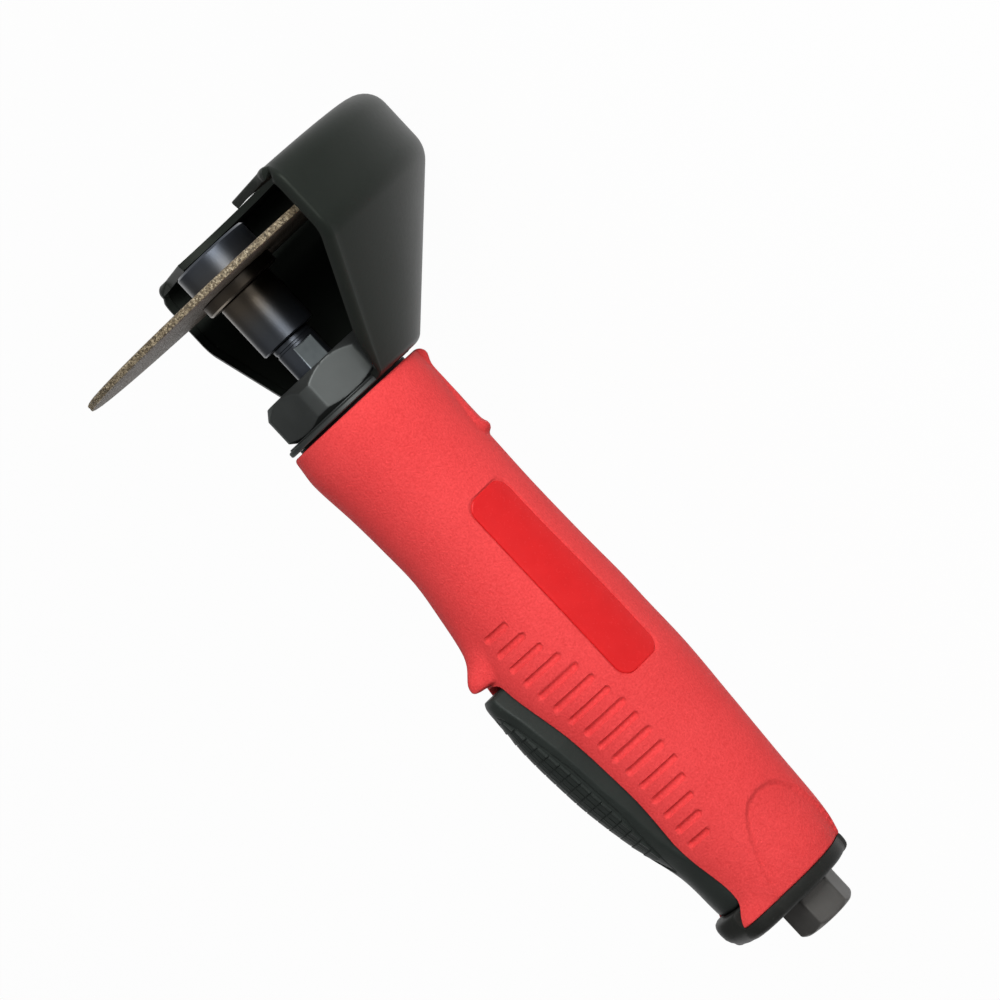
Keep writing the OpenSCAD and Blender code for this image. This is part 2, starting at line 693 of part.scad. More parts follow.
// Throttle spring: one wire wound in a helix between the plug and the valve head.
spring_turns = 3.5;
spring_rings_per_turn = 12;
spring_sides = 6;
spring_coil_r = (spring_d - spring_wire_d) / 2;
spring_low_z = plug_top_z + fit_gap + spring_wire_d / 2;
spring_pitch = (spring_len - spring_wire_d) / spring_turns;
echo(spring_gap = spring_pitch - spring_wire_d);
module throttle_spring() {
    rings = ceil(spring_turns * spring_rings_per_turn);
    color([0.55, 0.55, 0.58]) ring_loft([
        for (k = [0:rings]) let (turn = 360 * spring_turns * k / rings) [
            for (i = [0:spring_sides - 1]) let (
                a = -360 * i / spring_sides,
                r = spring_coil_r + spring_wire_d / 2 * cos(a)
            ) [x_valve + r * cos(turn), r * sin(turn),
                spring_low_z + spring_pitch * spring_turns * k / rings + spring_wire_d / 2 * sin(a)]
        ]
    ]);
}

// Screw plug that closes the valve chamber from below.
plug_socket_af = 4;
module valve_plug() {
    color([0.35, 0.35, 0.36]) translate([x_valve, 0, plug_low_z]) difference() {
        cylinder(h = plug_t, r = chamber_r - fit_gap);
        translate([0, 0, -cut_over])
            cylinder(h = plug_t / 2 + cut_over, d = plug_socket_af / cos(30), $fn = 6);
    }
}

// Ball bearing parts: pitch radius midway, with grooved rings.
function pitch_r(d, bore) = (d + bore) / 4;
race_wall_share = 0.27;
ball_share = 0.29;
function ball_r(d, bore) = (d - bore) / 2 * ball_share;
module bearing_ring_outer(x0, width, d, bore) {
    race = (d - bore) / 2 * race_wall_share;
    along_x(x0) rotate_extrude() difference() {
        translate([d / 2 - race, 0]) square([race - fit_gap, width]);
        translate([pitch_r(d, bore), width / 2]) circle(r = ball_r(d, bore) + run_gap, $fn = 48);
    }
}
module bearing_ring_inner(x0, width, d, bore) {
    race = (d - bore) / 2 * race_wall_share;
    along_x(x0) rotate_extrude() difference() {
        translate([bore / 2, 0]) square([race, width]);
        translate([pitch_r(d, bore), width / 2]) circle(r = ball_r(d, bore) + run_gap, $fn = 48);
    }
}
// Balls held in a flat cage ring.
module bearing_balls(x0, width, d, bore) {
    cage_half_t = ball_r(d, bore) / 4;
    translate([x0 + width / 2, 0, 0]) {
        for (i = [0:ball_count - 1]) rotate([i * 360 / ball_count, 0, 0])
            translate([0, 0, pitch_r(d, bore)]) sphere(r = ball_r(d, bore));
        tube_x(-ball_r(d, bore) / 2, ball_r(d, bore) / 2,
            pitch_r(d, bore) + cage_half_t, pitch_r(d, bore) - cage_half_t);
    }
}

// Rear end plate of the motor, with a pocket for the rear bearing.
pin_d = 2.5;
pin_ring_z = 14;
pin_depth = 6;
// How far a dowel enters an end plate: less than the web behind the front bearing.
pin_web_share = 0.8;
pin_plate_depth = (front_plate_t - front_bearing_w) * pin_web_share;
module plate_pin_hole(x0, x1) {
    translate([0, 0, -pin_ring_z]) bar_x(x0, x1, pin_d / 2 + fit_gap);
}
module rear_end_plate() {
    color([0.55, 0.5, 0.42]) difference() {
        bar_x(x_bay, x_cylinder, stack_r);
        bar_x(x_bay - cut_over, x_bay + rear_bearing_w, rear_bearing_d / 2);
        bar_x(x_bay, x_cylinder + cut_over, rear_journal_r + free_gap);
        plate_pin_hole(x_cylinder - pin_plate_depth, x_cylinder + cut_over);
        translate([0, 0, feed_z]) bar_x(x_bay - cut_over, x_cylinder + cut_over, feed_slot_w / 2);
    }
}
module rear_bearing_outer() {
    color([0.75, 0.75, 0.78]) bearing_ring_outer(x_bay, rear_bearing_w, rear_bearing_d, rear_bearing_bore);
}
module rear_bearing_inner() {
    color([0.7, 0.7, 0.74]) bearing_ring_inner(x_bay, rear_bearing_w, rear_bearing_d, rear_bearing_bore);
}
module rear_bearing_balls() {
    color([0.8, 0.8, 0.82]) bearing_balls(x_bay, rear_bearing_w, rear_bearing_d, rear_bearing_bore);
}

// Motor cylinder with an eccentric bore and a row of exhaust ports.
port_count = 5;
port_d = 3;
module motor_cylinder() {
    color([0.5, 0.5, 0.53]) difference() {
        bar_x(x_cylinder, x_front_plate, stack_r);
        translate([0, 0, cylinder_offset])
            bar_x(x_cylinder - cut_over, x_front_plate + cut_over, cylinder_bore_d / 2);
        plate_pin_hole(x_cylinder - cut_over, x_cylinder + pin_depth);
        plate_pin_hole(x_front_plate - pin_depth, x_front_plate + cut_over);
        for (i = [1:port_count])
            translate([x_cylinder + cylinder_len * i / (port_count + 1), 0, 0]) rotate([-90, 0, 0])
                cylinder(h = bay_d, r = port_d / 2);
    }
}

// Slotted rotor, pressed on the spindle.
rotor_bore_r = 5;
module vane_slot(thickness, top_r, bottom_r, x0, x1) {
    for (i = [0:vane_count - 1]) rotate([i * 360 / vane_count, 0, 0])
        translate([x0, -thickness / 2, bottom_r]) cube([x1 - x0, thickness, top_r - bottom_r]);
}
module rotor() {
    color([0.42, 0.42, 0.45]) difference() {
        bar_x(x_cylinder + rotor_end_gap, x_front_plate - rotor_end_gap, rotor_d / 2);
        bar_x(x_cylinder - cut_over, x_front_plate + cut_over, rotor_bore_r + fit_gap);
        vane_slot(vane_t + 2 * run_gap, rotor_d, rotor_d / 2 - vane_slot_depth, x_cylinder - cut_over,
            x_front_plate + cut_over);
    }
}
// Sliding vanes, shown drawn into their slots.
module rotor_vanes() {
    color([0.5, 0.36, 0.2])
        vane_slot(vane_t, rotor_d / 2 - run_gap, rotor_d / 2 - vane_slot_depth + run_gap,
            x_cylinder + 2 * rotor_end_gap, x_front_plate - 2 * rotor_end_gap);
}

// Dowels that line the cylinder up with the two end plates.
module alignment_pins() {
    color([0.72, 0.72, 0.75]) translate([0, 0, -pin_ring_z]) {
        bar_x(x_cylinder - pin_plate_depth + fit_gap, x_cylinder + pin_depth - fit_gap, pin_d / 2);
        bar_x(x_front_plate - pin_depth + fit_gap, x_front_plate + pin_plate_depth - fit_gap, pin_d / 2);
    }
}

// Front end plate of the motor, with a pocket for the front bearing.
module front_end_plate() {
    color([0.55, 0.5, 0.42]) difference() {
        bar_x(x_front_plate, x_stack_end, stack_r);
        bar_x(x_front_bearing, x_stack_end + cut_over, front_bearing_d / 2);
        bar_x(x_front_plate - cut_over, x_stack_end, spindle_r + free_gap);
        plate_pin_hole(x_front_plate - cut_over, x_front_plate + pin_plate_depth);
    }
}
module front_bearing_outer() {
    color([0.75, 0.75, 0.78])
        bearing_ring_outer(x_front_bearing, front_bearing_w, front_bearing_d, spindle_d);
}
module front_bearing_inner() {
    color([0.7, 0.7, 0.74])
        bearing_ring_inner(x_front_bearing, front_bearing_w, front_bearing_d, spindle_d);
}
module front_bearing_balls() {
    color([0.8, 0.8, 0.82]) bearing_balls(x_front_bearing, front_bearing_w, front_bearing_d, spindle_d);
}

// Clamp nut: closes the motor bay and holds the guard against the housing's front face.
nut_chamfer_share = 0.96;
// Land of the nut that bears on the front bearing's outer ring.
nut_land = 1.4;
nut_relief_r = front_bearing_d / 2 - nut_land;
seal_r = 9.5;
seal_t = 3;
module clamp_nut() {
    color([0.13, 0.14, 0.14]) difference() {
        union() {
            hex_bar_x(x_nut, x_nut_front, nut_af, nut_af / 2 * nut_chamfer_share, 0);
            bar_x(x_stack_end, x_nut + edge_break, nut_thread_r);
        }
        bar_x(x_stack_end - cut_over, x_nut_front + cut_over, spindle_r + free_gap);
        bar_x(x_stack_end - cut_over, x_nut, nut_relief_r);
        bar_x(x_nut - cut_over, x_nut + seal_t, seal_r);
    }
}

// Felt seal round the spindle inside the nut.
module shaft_seal() {
    color([0.3, 0.28, 0.25]) tube_x(x_nut + fit_gap, x_nut + seal_t, seal_r - fit_gap, spindle_r + run_gap);
}

// Lock washer between the nut and the guard, with one tab.
washer_r = 20;
washer_tab_w = 4;
washer_tab_r = 22;
module lock_washer() {
    color([0.08, 0.08, 0.08]) difference() {
        union() {
            bar_x(x_washer, x_nut, washer_r);
            translate([x_washer, -washer_tab_w / 2, 0])
                cube([x_nut - x_washer, washer_tab_w, washer_tab_r]);
        }
        bar_x(x_washer - cut_over, x_nut + cut_over, nut_thread_r + fit_gap);
    }
}

// Half-cup guard pressed from sheet: base plate, cone, rim band and windowed front plate.
guard_r = wheel_d / 2 + guard_wheel_gap + guard_wall;
guard_bore_r = nut_thread_r + free_gap;
guard_ring_r = 19.6;
guard_base_bend = 2.6;
bend_steps = 8;
// Outer corners of the sheet's section as [radius, x], with the bend radius at each.
guard_corners = [
    [guard_ring_r - edge_break, x_front], [guard_base_r, x_front],
    [guard_r, x_guard_front - guard_band_w], [guard_r, x_guard_front], [guard_window_r, x_guard_front]
];
guard_bends = [0, guard_base_bend, guard_rear_bend, guard_front_bend, 0];
// Whether the bend grows or shrinks towards the inside of the cup.
guard_bend_sides = [0, 1, -1, -1, 0];
function unit(v) = v / norm(v);
function left_of(v) = [-v[1], v[0]];
// Section line moved inwards by d, corner by corner.
function moved_corner(path, i, d) =
    i == 0 ? path[0] + d * left_of(unit(path[1] - path[0]))
    : i == len(path) - 1 ? path[i] + d * left_of(unit(path[i] - path[i - 1]))
    : let (
        a = left_of(unit(path[i] - path[i - 1])),
        b = left_of(unit(path[i + 1] - path[i]))
    ) path[i] + d * (a + b) / (1 + a * b);
// Corner i of a path, rounded with the radius r that suits its own line.
function rounded_corner(path, i, r) =
    r <= 0 ? [path[i]]
    : let (
        back = unit(path[i - 1] - path[i]),
        ahead = unit(path[i + 1] - path[i]),
        half = acos(back * ahead) / 2,
        middle = path[i] + unit(back + ahead) * r / sin(half),
        from = path[i] + back * r / tan(half) - middle,
        to = path[i] + ahead * r / tan(half) - middle,
        turn = 180 - 2 * half,
        sense = from[0] * to[1] - from[1] * to[0] > 0 ? 1 : -1
    ) [for (k = [0:bend_steps]) let (a = sense * turn * k / bend_steps)
        middle + [from[0] * cos(a) - from[1] * sin(a), from[0] * sin(a) + from[1] * cos(a)]];
function guard_line(d) =
    let (path = [for (i = [0:len(guard_corners) - 1]) moved_corner(guard_corners, i, d)])
    [for (i = [0:len(path) - 1])
        each rounded_corner(path, i, guard_bends[i] == 0 ? 0 : guard_bends[i] + d * guard_bend_sides[i])];
function reversed(list) = [for (i = [len(list) - 1:-1:0]) list[i]];
module wheel_guard() {
    color([0.1, 0.1, 0.1]) {
        rotate([0, 90, 0]) rotate([0, 0, -guard_wrap / 2]) rotate_extrude(angle = guard_wrap)
            polygon(concat(guard_line(0), reversed(guard_line(guard_wall))));
        tube_x(x_front + fit_gap, x_washer - fit_gap, guard_ring_r, guard_bore_r);
    }
}

// Spindle: rear journal, rotor seat, front journal with wrench flats, and the wheel's nose.
nose_clear = 0.6;
module spindle() {
    nose_r = arbor_d / 2 - run_gap;
    x_nose_end = x_outer_flange - nose_clear;
    color([0.3, 0.31, 0.33]) difference() {
        union() {
            bar_x(x_bay, x_cylinder + rotor_end_gap, rear_journal_r);
            bar_x(x_cylinder, x_front_plate, rotor_bore_r);
            bar_x(x_front_plate - rotor_end_gap, x_spacer, spindle_r - fit_gap);
            bar_x(x_spacer - edge_break, x_nose_end, nose_r);
        }
        for (side = [-90, 90]) rotate([side, 0, 0])
            translate([x_nut_front - edge_break, -spindle_d, wrench_flat_w / 2])
                cube([wrench_flat_len, 2 * spindle_d, spindle_d]);
        bar_x(x_nose_end - screw_len, x_nose_end + cut_over, screw_d / 2 + fit_gap);
    }
}

// Turned sleeve between the spindle's shoulder and the inner flange.
module arbor_spacer() {
    color([0.16, 0.17, 0.19]) difference() {
        turned_x([
            [0, x_spacer], [spacer_d / 2 - edge_break, x_spacer], [spacer_d / 2, x_spacer + edge_break],
            [spacer_d / 2, x_inner_flange - edge_break], [spacer_d / 2 - edge_break, x_inner_flange],
            [0, x_inner_flange]
        ]);
        bar_x(x_spacer - cut_over, x_inner_flange + cut_over, arbor_d / 2);
    }
}

module inner_flange() {
    color([0.2, 0.19, 0.18]) difference() {
        turned_x([
            [0, x_inner_flange], [flange_d / 2 - edge_break, x_inner_flange],
            [flange_d / 2, x_inner_flange + edge_break], [flange_d / 2, x_wheel], [0, x_wheel]
        ]);
        bar_x(x_inner_flange - cut_over, x_wheel + cut_over, arbor_d / 2);
    }
}

// Bonded abrasive wheel.
module cutoff_wheel() {
    color([0.45, 0.38, 0.26]) tube_x(x_wheel, x_outer_flange, wheel_d / 2, arbor_d / 2);
}

// Outer flange with a counterbore for the wheel screw's head.
module outer_flange() {
    x_head = x_outer_front - edge_break - screw_head_h;
    color([0.2, 0.21, 0.23]) difference() {
        turned_x([
            [0, x_outer_flange], [flange_d / 2, x_outer_flange], [flange_d / 2, x_outer_front - edge_break],
            [flange_d / 2 - edge_break, x_outer_front], [0, x_outer_front]
        ]);
        bar_x(x_head, x_outer_front + cut_over, screw_head_d / 2 + free_gap);
        bar_x(x_outer_flange - cut_over, x_outer_front, screw_d / 2 + free_gap);
    }
}

// Socket head screw that clamps the wheel.
socket_af = 5;
module wheel_screw() {
    x_head = x_outer_front - edge_break - screw_head_h;
    color([0.12, 0.12, 0.13]) difference() {
        union() {
            bar_x(x_head, x_head + screw_head_h, screw_head_d / 2);
            bar_x(x_outer_flange - screw_len + screw_head_h, x_head + edge_break, screw_d / 2);
        }
        along_x(x_head + screw_head_h / 2) cylinder(h = screw_head_h, d = socket_af / cos(30), $fn = 6);
    }
}

grip_sleeve();
label_plate();
motor_housing();
end_cap();
exhaust_felt();
inlet_bushing();
inlet_o_ring();
inlet_screen();
throttle_lever();
lever_pin();
valve_bushing();
valve_stem();
throttle_spring();
valve_plug();
rear_end_plate();
rear_bearing_outer();
rear_bearing_inner();
rear_bearing_balls();
motor_cylinder();
rotor();
rotor_vanes();
alignment_pins();
front_end_plate();
front_bearing_outer();
front_bearing_inner();
front_bearing_balls();
clamp_nut();
shaft_seal();
lock_washer();
wheel_guard();
spindle();
arbor_spacer();
inner_flange();
cutoff_wheel();
outer_flange();
wheel_screw();
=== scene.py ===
import math

import bmesh
import bpy
import numpy as np
from mathutils import Matrix, Vector


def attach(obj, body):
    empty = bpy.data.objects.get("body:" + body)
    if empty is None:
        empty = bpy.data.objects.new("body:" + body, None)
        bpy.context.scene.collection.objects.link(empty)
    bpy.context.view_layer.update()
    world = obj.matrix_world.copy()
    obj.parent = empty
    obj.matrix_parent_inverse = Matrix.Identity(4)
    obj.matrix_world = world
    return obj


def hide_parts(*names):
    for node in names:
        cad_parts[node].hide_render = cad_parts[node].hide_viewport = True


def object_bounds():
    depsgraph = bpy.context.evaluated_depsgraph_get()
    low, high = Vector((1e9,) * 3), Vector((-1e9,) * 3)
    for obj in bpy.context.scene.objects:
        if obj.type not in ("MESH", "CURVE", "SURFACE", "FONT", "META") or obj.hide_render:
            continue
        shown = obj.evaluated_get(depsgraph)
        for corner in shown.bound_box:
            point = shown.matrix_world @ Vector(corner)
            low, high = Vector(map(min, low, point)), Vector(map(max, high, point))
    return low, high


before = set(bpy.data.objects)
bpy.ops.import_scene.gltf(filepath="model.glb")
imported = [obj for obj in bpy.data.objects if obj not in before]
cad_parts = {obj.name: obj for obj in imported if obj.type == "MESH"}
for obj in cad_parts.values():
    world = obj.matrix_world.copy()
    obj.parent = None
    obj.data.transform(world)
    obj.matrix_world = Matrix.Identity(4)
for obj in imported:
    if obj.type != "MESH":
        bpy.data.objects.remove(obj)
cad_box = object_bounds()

# Studio: a pale round floor that coves up into a wall, with soft lamps in front of, over and behind the tool.
# The camera looks at the flank from 20 degrees above it, rolled so that the tool lies on a diagonal.
# Frame width is taken at the tool's axis, and the lens follows from it and from the distance.
MM = 0.001
scene = bpy.context.scene
scene.view_settings.view_transform = "Standard"
camera_elevation = math.radians(20)
camera_yaw = math.radians(1.8)
camera_roll = math.radians(46.4)
camera_distance = 1350 * MM
camera_target = Vector((138.7, -3.9, -10.6)) * MM
frame_width = 261.3 * MM
sensor_width = 36.0

toward_camera = Vector((math.sin(camera_yaw) * math.cos(camera_elevation),
                        -math.cos(camera_yaw) * math.cos(camera_elevation), math.sin(camera_elevation)))
level = Vector((0, 0, 1)).cross(toward_camera).normalized()
upright = toward_camera.cross(level)
picture_right = -math.cos(camera_roll) * level - math.sin(camera_roll) * upright
picture_up = toward_camera.cross(picture_right)
camera_data = bpy.data.cameras.new("photo_camera")
camera_data.sensor_width = sensor_width
camera_data.lens = sensor_width * camera_distance / frame_width
camera = bpy.data.objects.new("photo_camera", camera_data)
scene.collection.objects.link(camera)
turn = Matrix((picture_right, picture_up, toward_camera)).transposed()
camera.matrix_world = Matrix.Translation(camera_target + toward_camera * camera_distance) @ turn.to_4x4()
scene.camera = camera


class Socket:
    """One output of a node. Arithmetic on it adds Math nodes, and node() adds any node.

    A kind that doesn't say Node is a shader node.
    """

    def __init__(self, tree, out=None):
        self.tree = tree
        self.out = out

    def node(self, kind, sockets=None, out=0, **settings):
        made = self.tree.nodes.new(kind if "Node" in kind else "ShaderNode" + kind)
        for key, value in settings.items():
            if key == "stops":
                ramp = made.color_ramp
                for place, _ in value[1:-1]:
                    ramp.elements.new(place)
                for element, (place, colour) in zip(ramp.elements, value):
                    element.position = place
                    element.color = colour
            else:
                setattr(made, key, value)
        for key, value in (sockets or {}).items():
            if isinstance(value, Socket):
                self.tree.links.new(value.out, made.inputs[key])
            else:
                made.inputs[key].default_value = value
        return Socket(self.tree, made.outputs[out] if made.outputs else None)

    def math(self, operation, first, second=0):
        return self.node("Math", {0: first, 1: second}, operation=operation)

    def __add__(self, other):
        return self.math("ADD", self, other)

    def __sub__(self, other):
        return self.math("SUBTRACT", self, other)

    def __rsub__(self, other):
        return self.math("SUBTRACT", other, self)

    def __mul__(self, other):
        return self.math("MULTIPLY", self, other)

    def __truediv__(self, other):
        return self.math("DIVIDE", self, other)

    def __pow__(self, other):
        return self.math("POWER", self, other)

    __radd__ = __add__
    __rmul__ = __mul__


def new_material(name):
    """An empty node material, and a socket that starts expressions in its tree."""
    material = bpy.data.materials.new(name)
    material.use_nodes = True
    material.node_tree.nodes.clear()
    return material, Socket(material.node_tree)


def wrapped_rows(rows, columns, closed=False):
    """Quads of a grid of rings, each closed on itself. A closed grid joins its last ring to its first."""
    faces = []
    for r in range(rows if closed else rows - 1):
        here, after = r * columns, (r + 1) % rows * columns
        for c in range(columns):
            d = (c + 1) % columns
            faces.append((here + c, here + d, after + d, after + c))
    return faces


floor_paint, tree = new_material("floor_paint")
rays = [tree.node("LightPath", out=kind)
        for kind in ("Is Camera Ray", "Is Glossy Ray", "Is Transmission Ray")]
seen = tree.math("MAXIMUM", rays[0], tree.math("MAXIMUM", rays[1], rays[2]))
floor_glow = 0.97
paint = tree.node("BsdfDiffuse", {"Color": (0.85, 0.85, 0.85, 1)})
glow = tree.node("Emission", {"Color": (1, 1, 1, 1), "Strength": 1.0})
tree.node("OutputMaterial", {
    "Surface": tree.node("MixShader", {0: seen * floor_glow, 1: paint, 2: glow})})

floor_gap = 0.4 * MM
floor_z = cad_box[0][2] - floor_gap
floor_middle, floor_reach, cove_r, wall_top = 1.2, 4, 0.8, 1.6
floor_sides = 96
cove = [(floor_reach - cove_r + cove_r * math.sin(t), floor_z + cove_r - cove_r * math.cos(t))
        for t in np.radians(np.linspace(0, 90, 10))]
floor_rings = [(floor_middle, floor_z)] + cove + [(floor_reach, floor_z + wall_top)]
floor_points = [(r * math.cos(a), r * math.sin(a), z) for r, z in floor_rings
                for a in np.linspace(0, math.tau, floor_sides, endpoint=False)]
floor_faces = [tuple(range(floor_sides))]
floor_faces += [face[::-1] for face in wrapped_rows(len(floor_rings), floor_sides)]
floor_mesh = bpy.data.meshes.new("studio_floor")
floor_mesh.from_pydata(floor_points, [], floor_faces)
floor_mesh.shade_smooth()
floor_mesh.materials.append(floor_paint)
studio_floor = bpy.data.objects.new("studio_floor", floor_mesh)
scene.collection.objects.link(studio_floor)

surround = bpy.data.worlds.new("pale_surround")
surround.use_nodes = True
backdrop = surround.node_tree.nodes["Background"].inputs
backdrop["Color"].default_value = (1, 1, 1, 1)
backdrop["Strength"].default_value = 0.26
scene.world = surround


def soft_lamp(name, toward, distance, size, power):
    """A square soft box that faces the tool's middle."""
    data = bpy.data.lights.new(name, "AREA")
    data.size = size
    data.energy = power
    lamp = bpy.data.objects.new(name, data)
    scene.collection.objects.link(lamp)
    aim = toward.normalized()
    lamp.matrix_world = (Matrix.Translation(camera_target + aim * distance)
                         @ aim.to_track_quat("Z", "Y").to_matrix().to_4x4())


soft_lamp("front_box", Vector((0.42, -0.88, 0.22)), distance=1.05, size=0.45, power=10.6)
soft_lamp("top_box", Vector((0.25, -0.15, 1)), distance=1.3, size=1.2, power=1)
soft_lamp("rear_box", Vector((-0.85, 0.55, 0.4)), distance=1.2, size=0.8, power=3)

# Motor unit inside the grip: alloy housing, alloy end plates, steel bearings and rotor, brass valve
# seats, resin vanes, felt and rubber seals. It is stacked in the housing and clamped by the nut in front.
# These stay as the solids of the frame, hidden by the grip, and get the finish that each is made with, but
# the
# housing is painted near black: painted shade for the narrow gap where it shows between the grip and the
# guard.


def finish(tree, values, height, bump, bump_reach):
    """Ends a material's tree in a surface shader, with a bump from a height socket."""
    shape = tree.node("Bump", {
        "Strength": bump, "Distance": bump_reach, "Height": height})
    surface = tree.node("BsdfPrincipled", {**values, "Normal": shape})
    tree.node("OutputMaterial", {"Surface": surface})


def blotches(tree, scale, detail=3, roughness=0.55):
    """Noise on the piece's own coordinates. Its scale is in features per metre."""
    place = tree.node("TexCoord", out="Object")
    return tree.node("TexNoise", {
        "Vector": place, "Scale": scale, "Detail": detail, "Roughness": roughness})


def mixed(tree, share, first, second):
    """Colour between two colours by a share from 0 to 1."""
    return tree.node("Mix", {0: share, 6: first, 7: second}, out=2, data_type="RGBA")


def metal(name, dark, light, rough, rough_spread, grain, bump, fineness=12, metallic=1, detail=3):
    """Bare or treated metal: colour and roughness drift between two values over a fine grain."""
    material, tree = new_material(name)
    drift = blotches(tree, grain, detail)
    fine = blotches(tree, grain * fineness, detail=2)
    finish(tree, {"Base Color": mixed(tree, drift, dark, light), "Metallic": metallic,
                  "Roughness": rough + (drift - 0.5) * rough_spread}, fine, bump, 0.05 * MM)
    return material


# Housing: painted near black, as painted shade in the narrow gap between the grip's front and the guard.
cast_alloy = metal("cast_alloy", (0.012, 0.012, 0.013, 1), (0.022, 0.022, 0.023, 1), 0.6, 0.2, 300, 0.35)
plate_alloy = metal("plate_alloy", (0.4, 0.37, 0.31, 1), (0.52, 0.48, 0.4, 1), 0.4, 0.2, 260, 0.2)
bright_steel = metal("bright_steel", (0.55, 0.55, 0.57, 1), (0.7, 0.7, 0.72, 1), 0.22, 0.12, 240, 0.06)
dark_core_steel = metal("dark_core_steel", (0.2, 0.2, 0.22, 1), (0.32, 0.32, 0.34, 1), 0.34, 0.2, 240, 0.1)
valve_brass = metal("valve_brass", (0.58, 0.4, 0.14, 1), (0.74, 0.55, 0.24, 1), 0.3, 0.2, 280, 0.1)

felt, tree = new_material("felt")
fibre = blotches(tree, 2600, detail=5, roughness=0.7)
finish(tree, {"Base Color": mixed(tree, fibre, (0.1, 0.095, 0.085, 1), (0.3, 0.28, 0.25, 1)),
              "Roughness": 0.95}, fibre, 0.9, 0.3 * MM)
vane_sheet, tree = new_material("vane_sheet")
fibre = blotches(tree, 900, detail=4)
finish(tree, {"Base Color": mixed(tree, fibre, (0.16, 0.09, 0.04, 1), (0.3, 0.18, 0.09, 1)),
              "Roughness": 0.55}, fibre, 0.3, 0.05 * MM)
seal_rubber, tree = new_material("seal_rubber")
bloom = blotches(tree, 700)
finish(tree, {"Base Color": mixed(tree, bloom, (0.012, 0.012, 0.012, 1), (0.03, 0.03, 0.03, 1)),
              "Roughness": 0.5 + bloom * 0.2}, bloom, 0.1, 0.05 * MM)

core_finishes = (
    (cast_alloy, ["motor_housing"]), (felt, ["exhaust_felt", "shaft_seal"]), (seal_rubber, ["inlet_o_ring"]),
    (valve_brass, ["inlet_screen", "valve_bushing"]), (plate_alloy, ["rear_end_plate", "front_end_plate"]),
    (dark_core_steel, ["valve_plug", "motor_cylinder", "rotor"]), (vane_sheet, ["rotor_vanes"]),
    (bright_steel, ["valve_stem", "throttle_spring", "lever_pin", "alignment_pins",
                    "rear_bearing_outer", "rear_bearing_inner", "rear_bearing_balls",
                    "front_bearing_outer", "front_bearing_inner", "front_bearing_balls"]))
for node_finish, node_names in core_finishes:
    for node_name in node_names:
        for material_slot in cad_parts[node_name].material_slots:
            material_slot.material = node_finish

# Grip: one red moulding of hard rubbery plastic with a fine spark-eroded grain, pushed over the housing.
# Its skin follows a table of sections, with a finger lip, a pad on the back of the neck, thumb scoops at the
# rear, sixteen grooves on each flank, a recess for the label and a slot along its upper side for the lever.
grip_rear = 14.3
grip_front = 182.65
grip_r = 22.0

# Sections: share of the length, then the reach below, sideways and above, as shares of grip_r.
grip_sections = np.array([
    [0, 0.765, 0.78, 0.95], [0.03, 0.825, 0.82, 0.97], [0.07, 0.86, 0.84, 0.98], [0.15, 0.89, 0.87, 1.02],
    [0.27, 0.945, 0.91, 1.05], [0.38, 0.99, 0.95, 1.1], [0.47, 0.985, 0.96, 1.16], [0.53, 0.985, 0.96, 1.15],
    [0.59, 0.968, 0.95, 1.06], [0.65, 0.958, 0.93, 1], [0.73, 0.952, 0.92, 0.91], [0.8, 0.96, 0.93, 0.915],
    [0.87, 0.97, 0.96, 0.94], [0.95, 0.995, 1, 0.992], [0.985, 0.995, 1, 0.965], [1, 0.99, 0.99, 0.95]])

# Finger lip: place along the axis and rise of its ridge, steep behind, hollow in front and wider forwards.
lip_rise = np.array([
    [105.1, 0], [105.5, 1], [105.9, 3.2], [106.4, 4.6], [107.1, 5.25], [108.2, 5.4], [109.2, 5.2],
    [110.2, 4.65], [111.2, 3.85], [112.2, 3.05], [113.2, 2.4], [114.2, 1.9], [115.5, 1.4], [118, 0.85],
    [121, 0.45], [125, 0]])
lip_width_x, lip_half_deg = [106, 118], [13, 24]

# Pad on the back of the neck: place along the axis, height and half width in degrees, with a nib at each end.
back_pad = np.array([
    [152.8, 0, 20], [153.5, 0.3, 27], [154.2, 1.35, 31], [155, 1.85, 34], [156, 1.85, 36], [156.9, 1.45, 37],
    [158, 1.15, 38], [162, 1, 36], [166, 0.9, 33], [170, 0.7, 29], [174, 0.55, 25], [176.4, 0.55, 24],
    [177.4, 0.75, 24], [178.4, 1.15, 24], [179.4, 1.7, 24], [180.4, 1.9, 24], [181.4, 1.6, 24],
    [182.3, 0.9, 24], [183, 0.1, 24]])
pad_edge_deg = 5

# Thumb scoop: angle on the -Y flank and the place along the axis where its edge runs. Its floor falls in a
# short and a long slope. A shoulder beside the heel stands up behind it.
scoop_edge = np.array([
    [138, 15], [140.3, 15.8], [145, 21.9], [150.7, 27.4], [158, 32.6], [166.3, 36.8], [175, 39],
    [187.6, 39.8], [200, 39], [209, 37.4], [222, 33], [235, 24.8], [246, 15]])
scoop_depths, scoop_slopes = (0.85, 0.35), (1.5, 10)
shoulder_x, shoulder_deg, shoulder_rise = 13, 111, 2.9
shoulder_reach_x, shoulder_reach_deg = 8.5, 26


def curve_through(table, column, at):
    """Cubic curve through the rows of a table, each with the slope between its neighbours."""
    keys, values = table[:, 0], table[:, column]
    ends = np.diff(values) / np.diff(keys)
    slopes = np.concatenate([ends[:1], (values[2:] - values[:-2]) / (keys[2:] - keys[:-2]), ends[-1:]])
    row = np.clip(np.searchsorted(keys, at, side="right") - 1, 0, len(keys) - 2)
    span = keys[row + 1] - keys[row]
    k = (at - keys[row]) / span
    return ((2 * k**3 - 3 * k**2 + 1) * values[row] + (k**3 - 2 * k**2 + k) * span * slopes[row]
            + (3 * k**2 - 2 * k**3) * values[row + 1] + (k**3 - k**2) * span * slopes[row + 1])


def eased(t):
    """Smooth step from 0 at t = 0 to 1 at t = 1."""
    k = np.clip(t, 0, 1)
    return k * k * (3 - 2 * k)


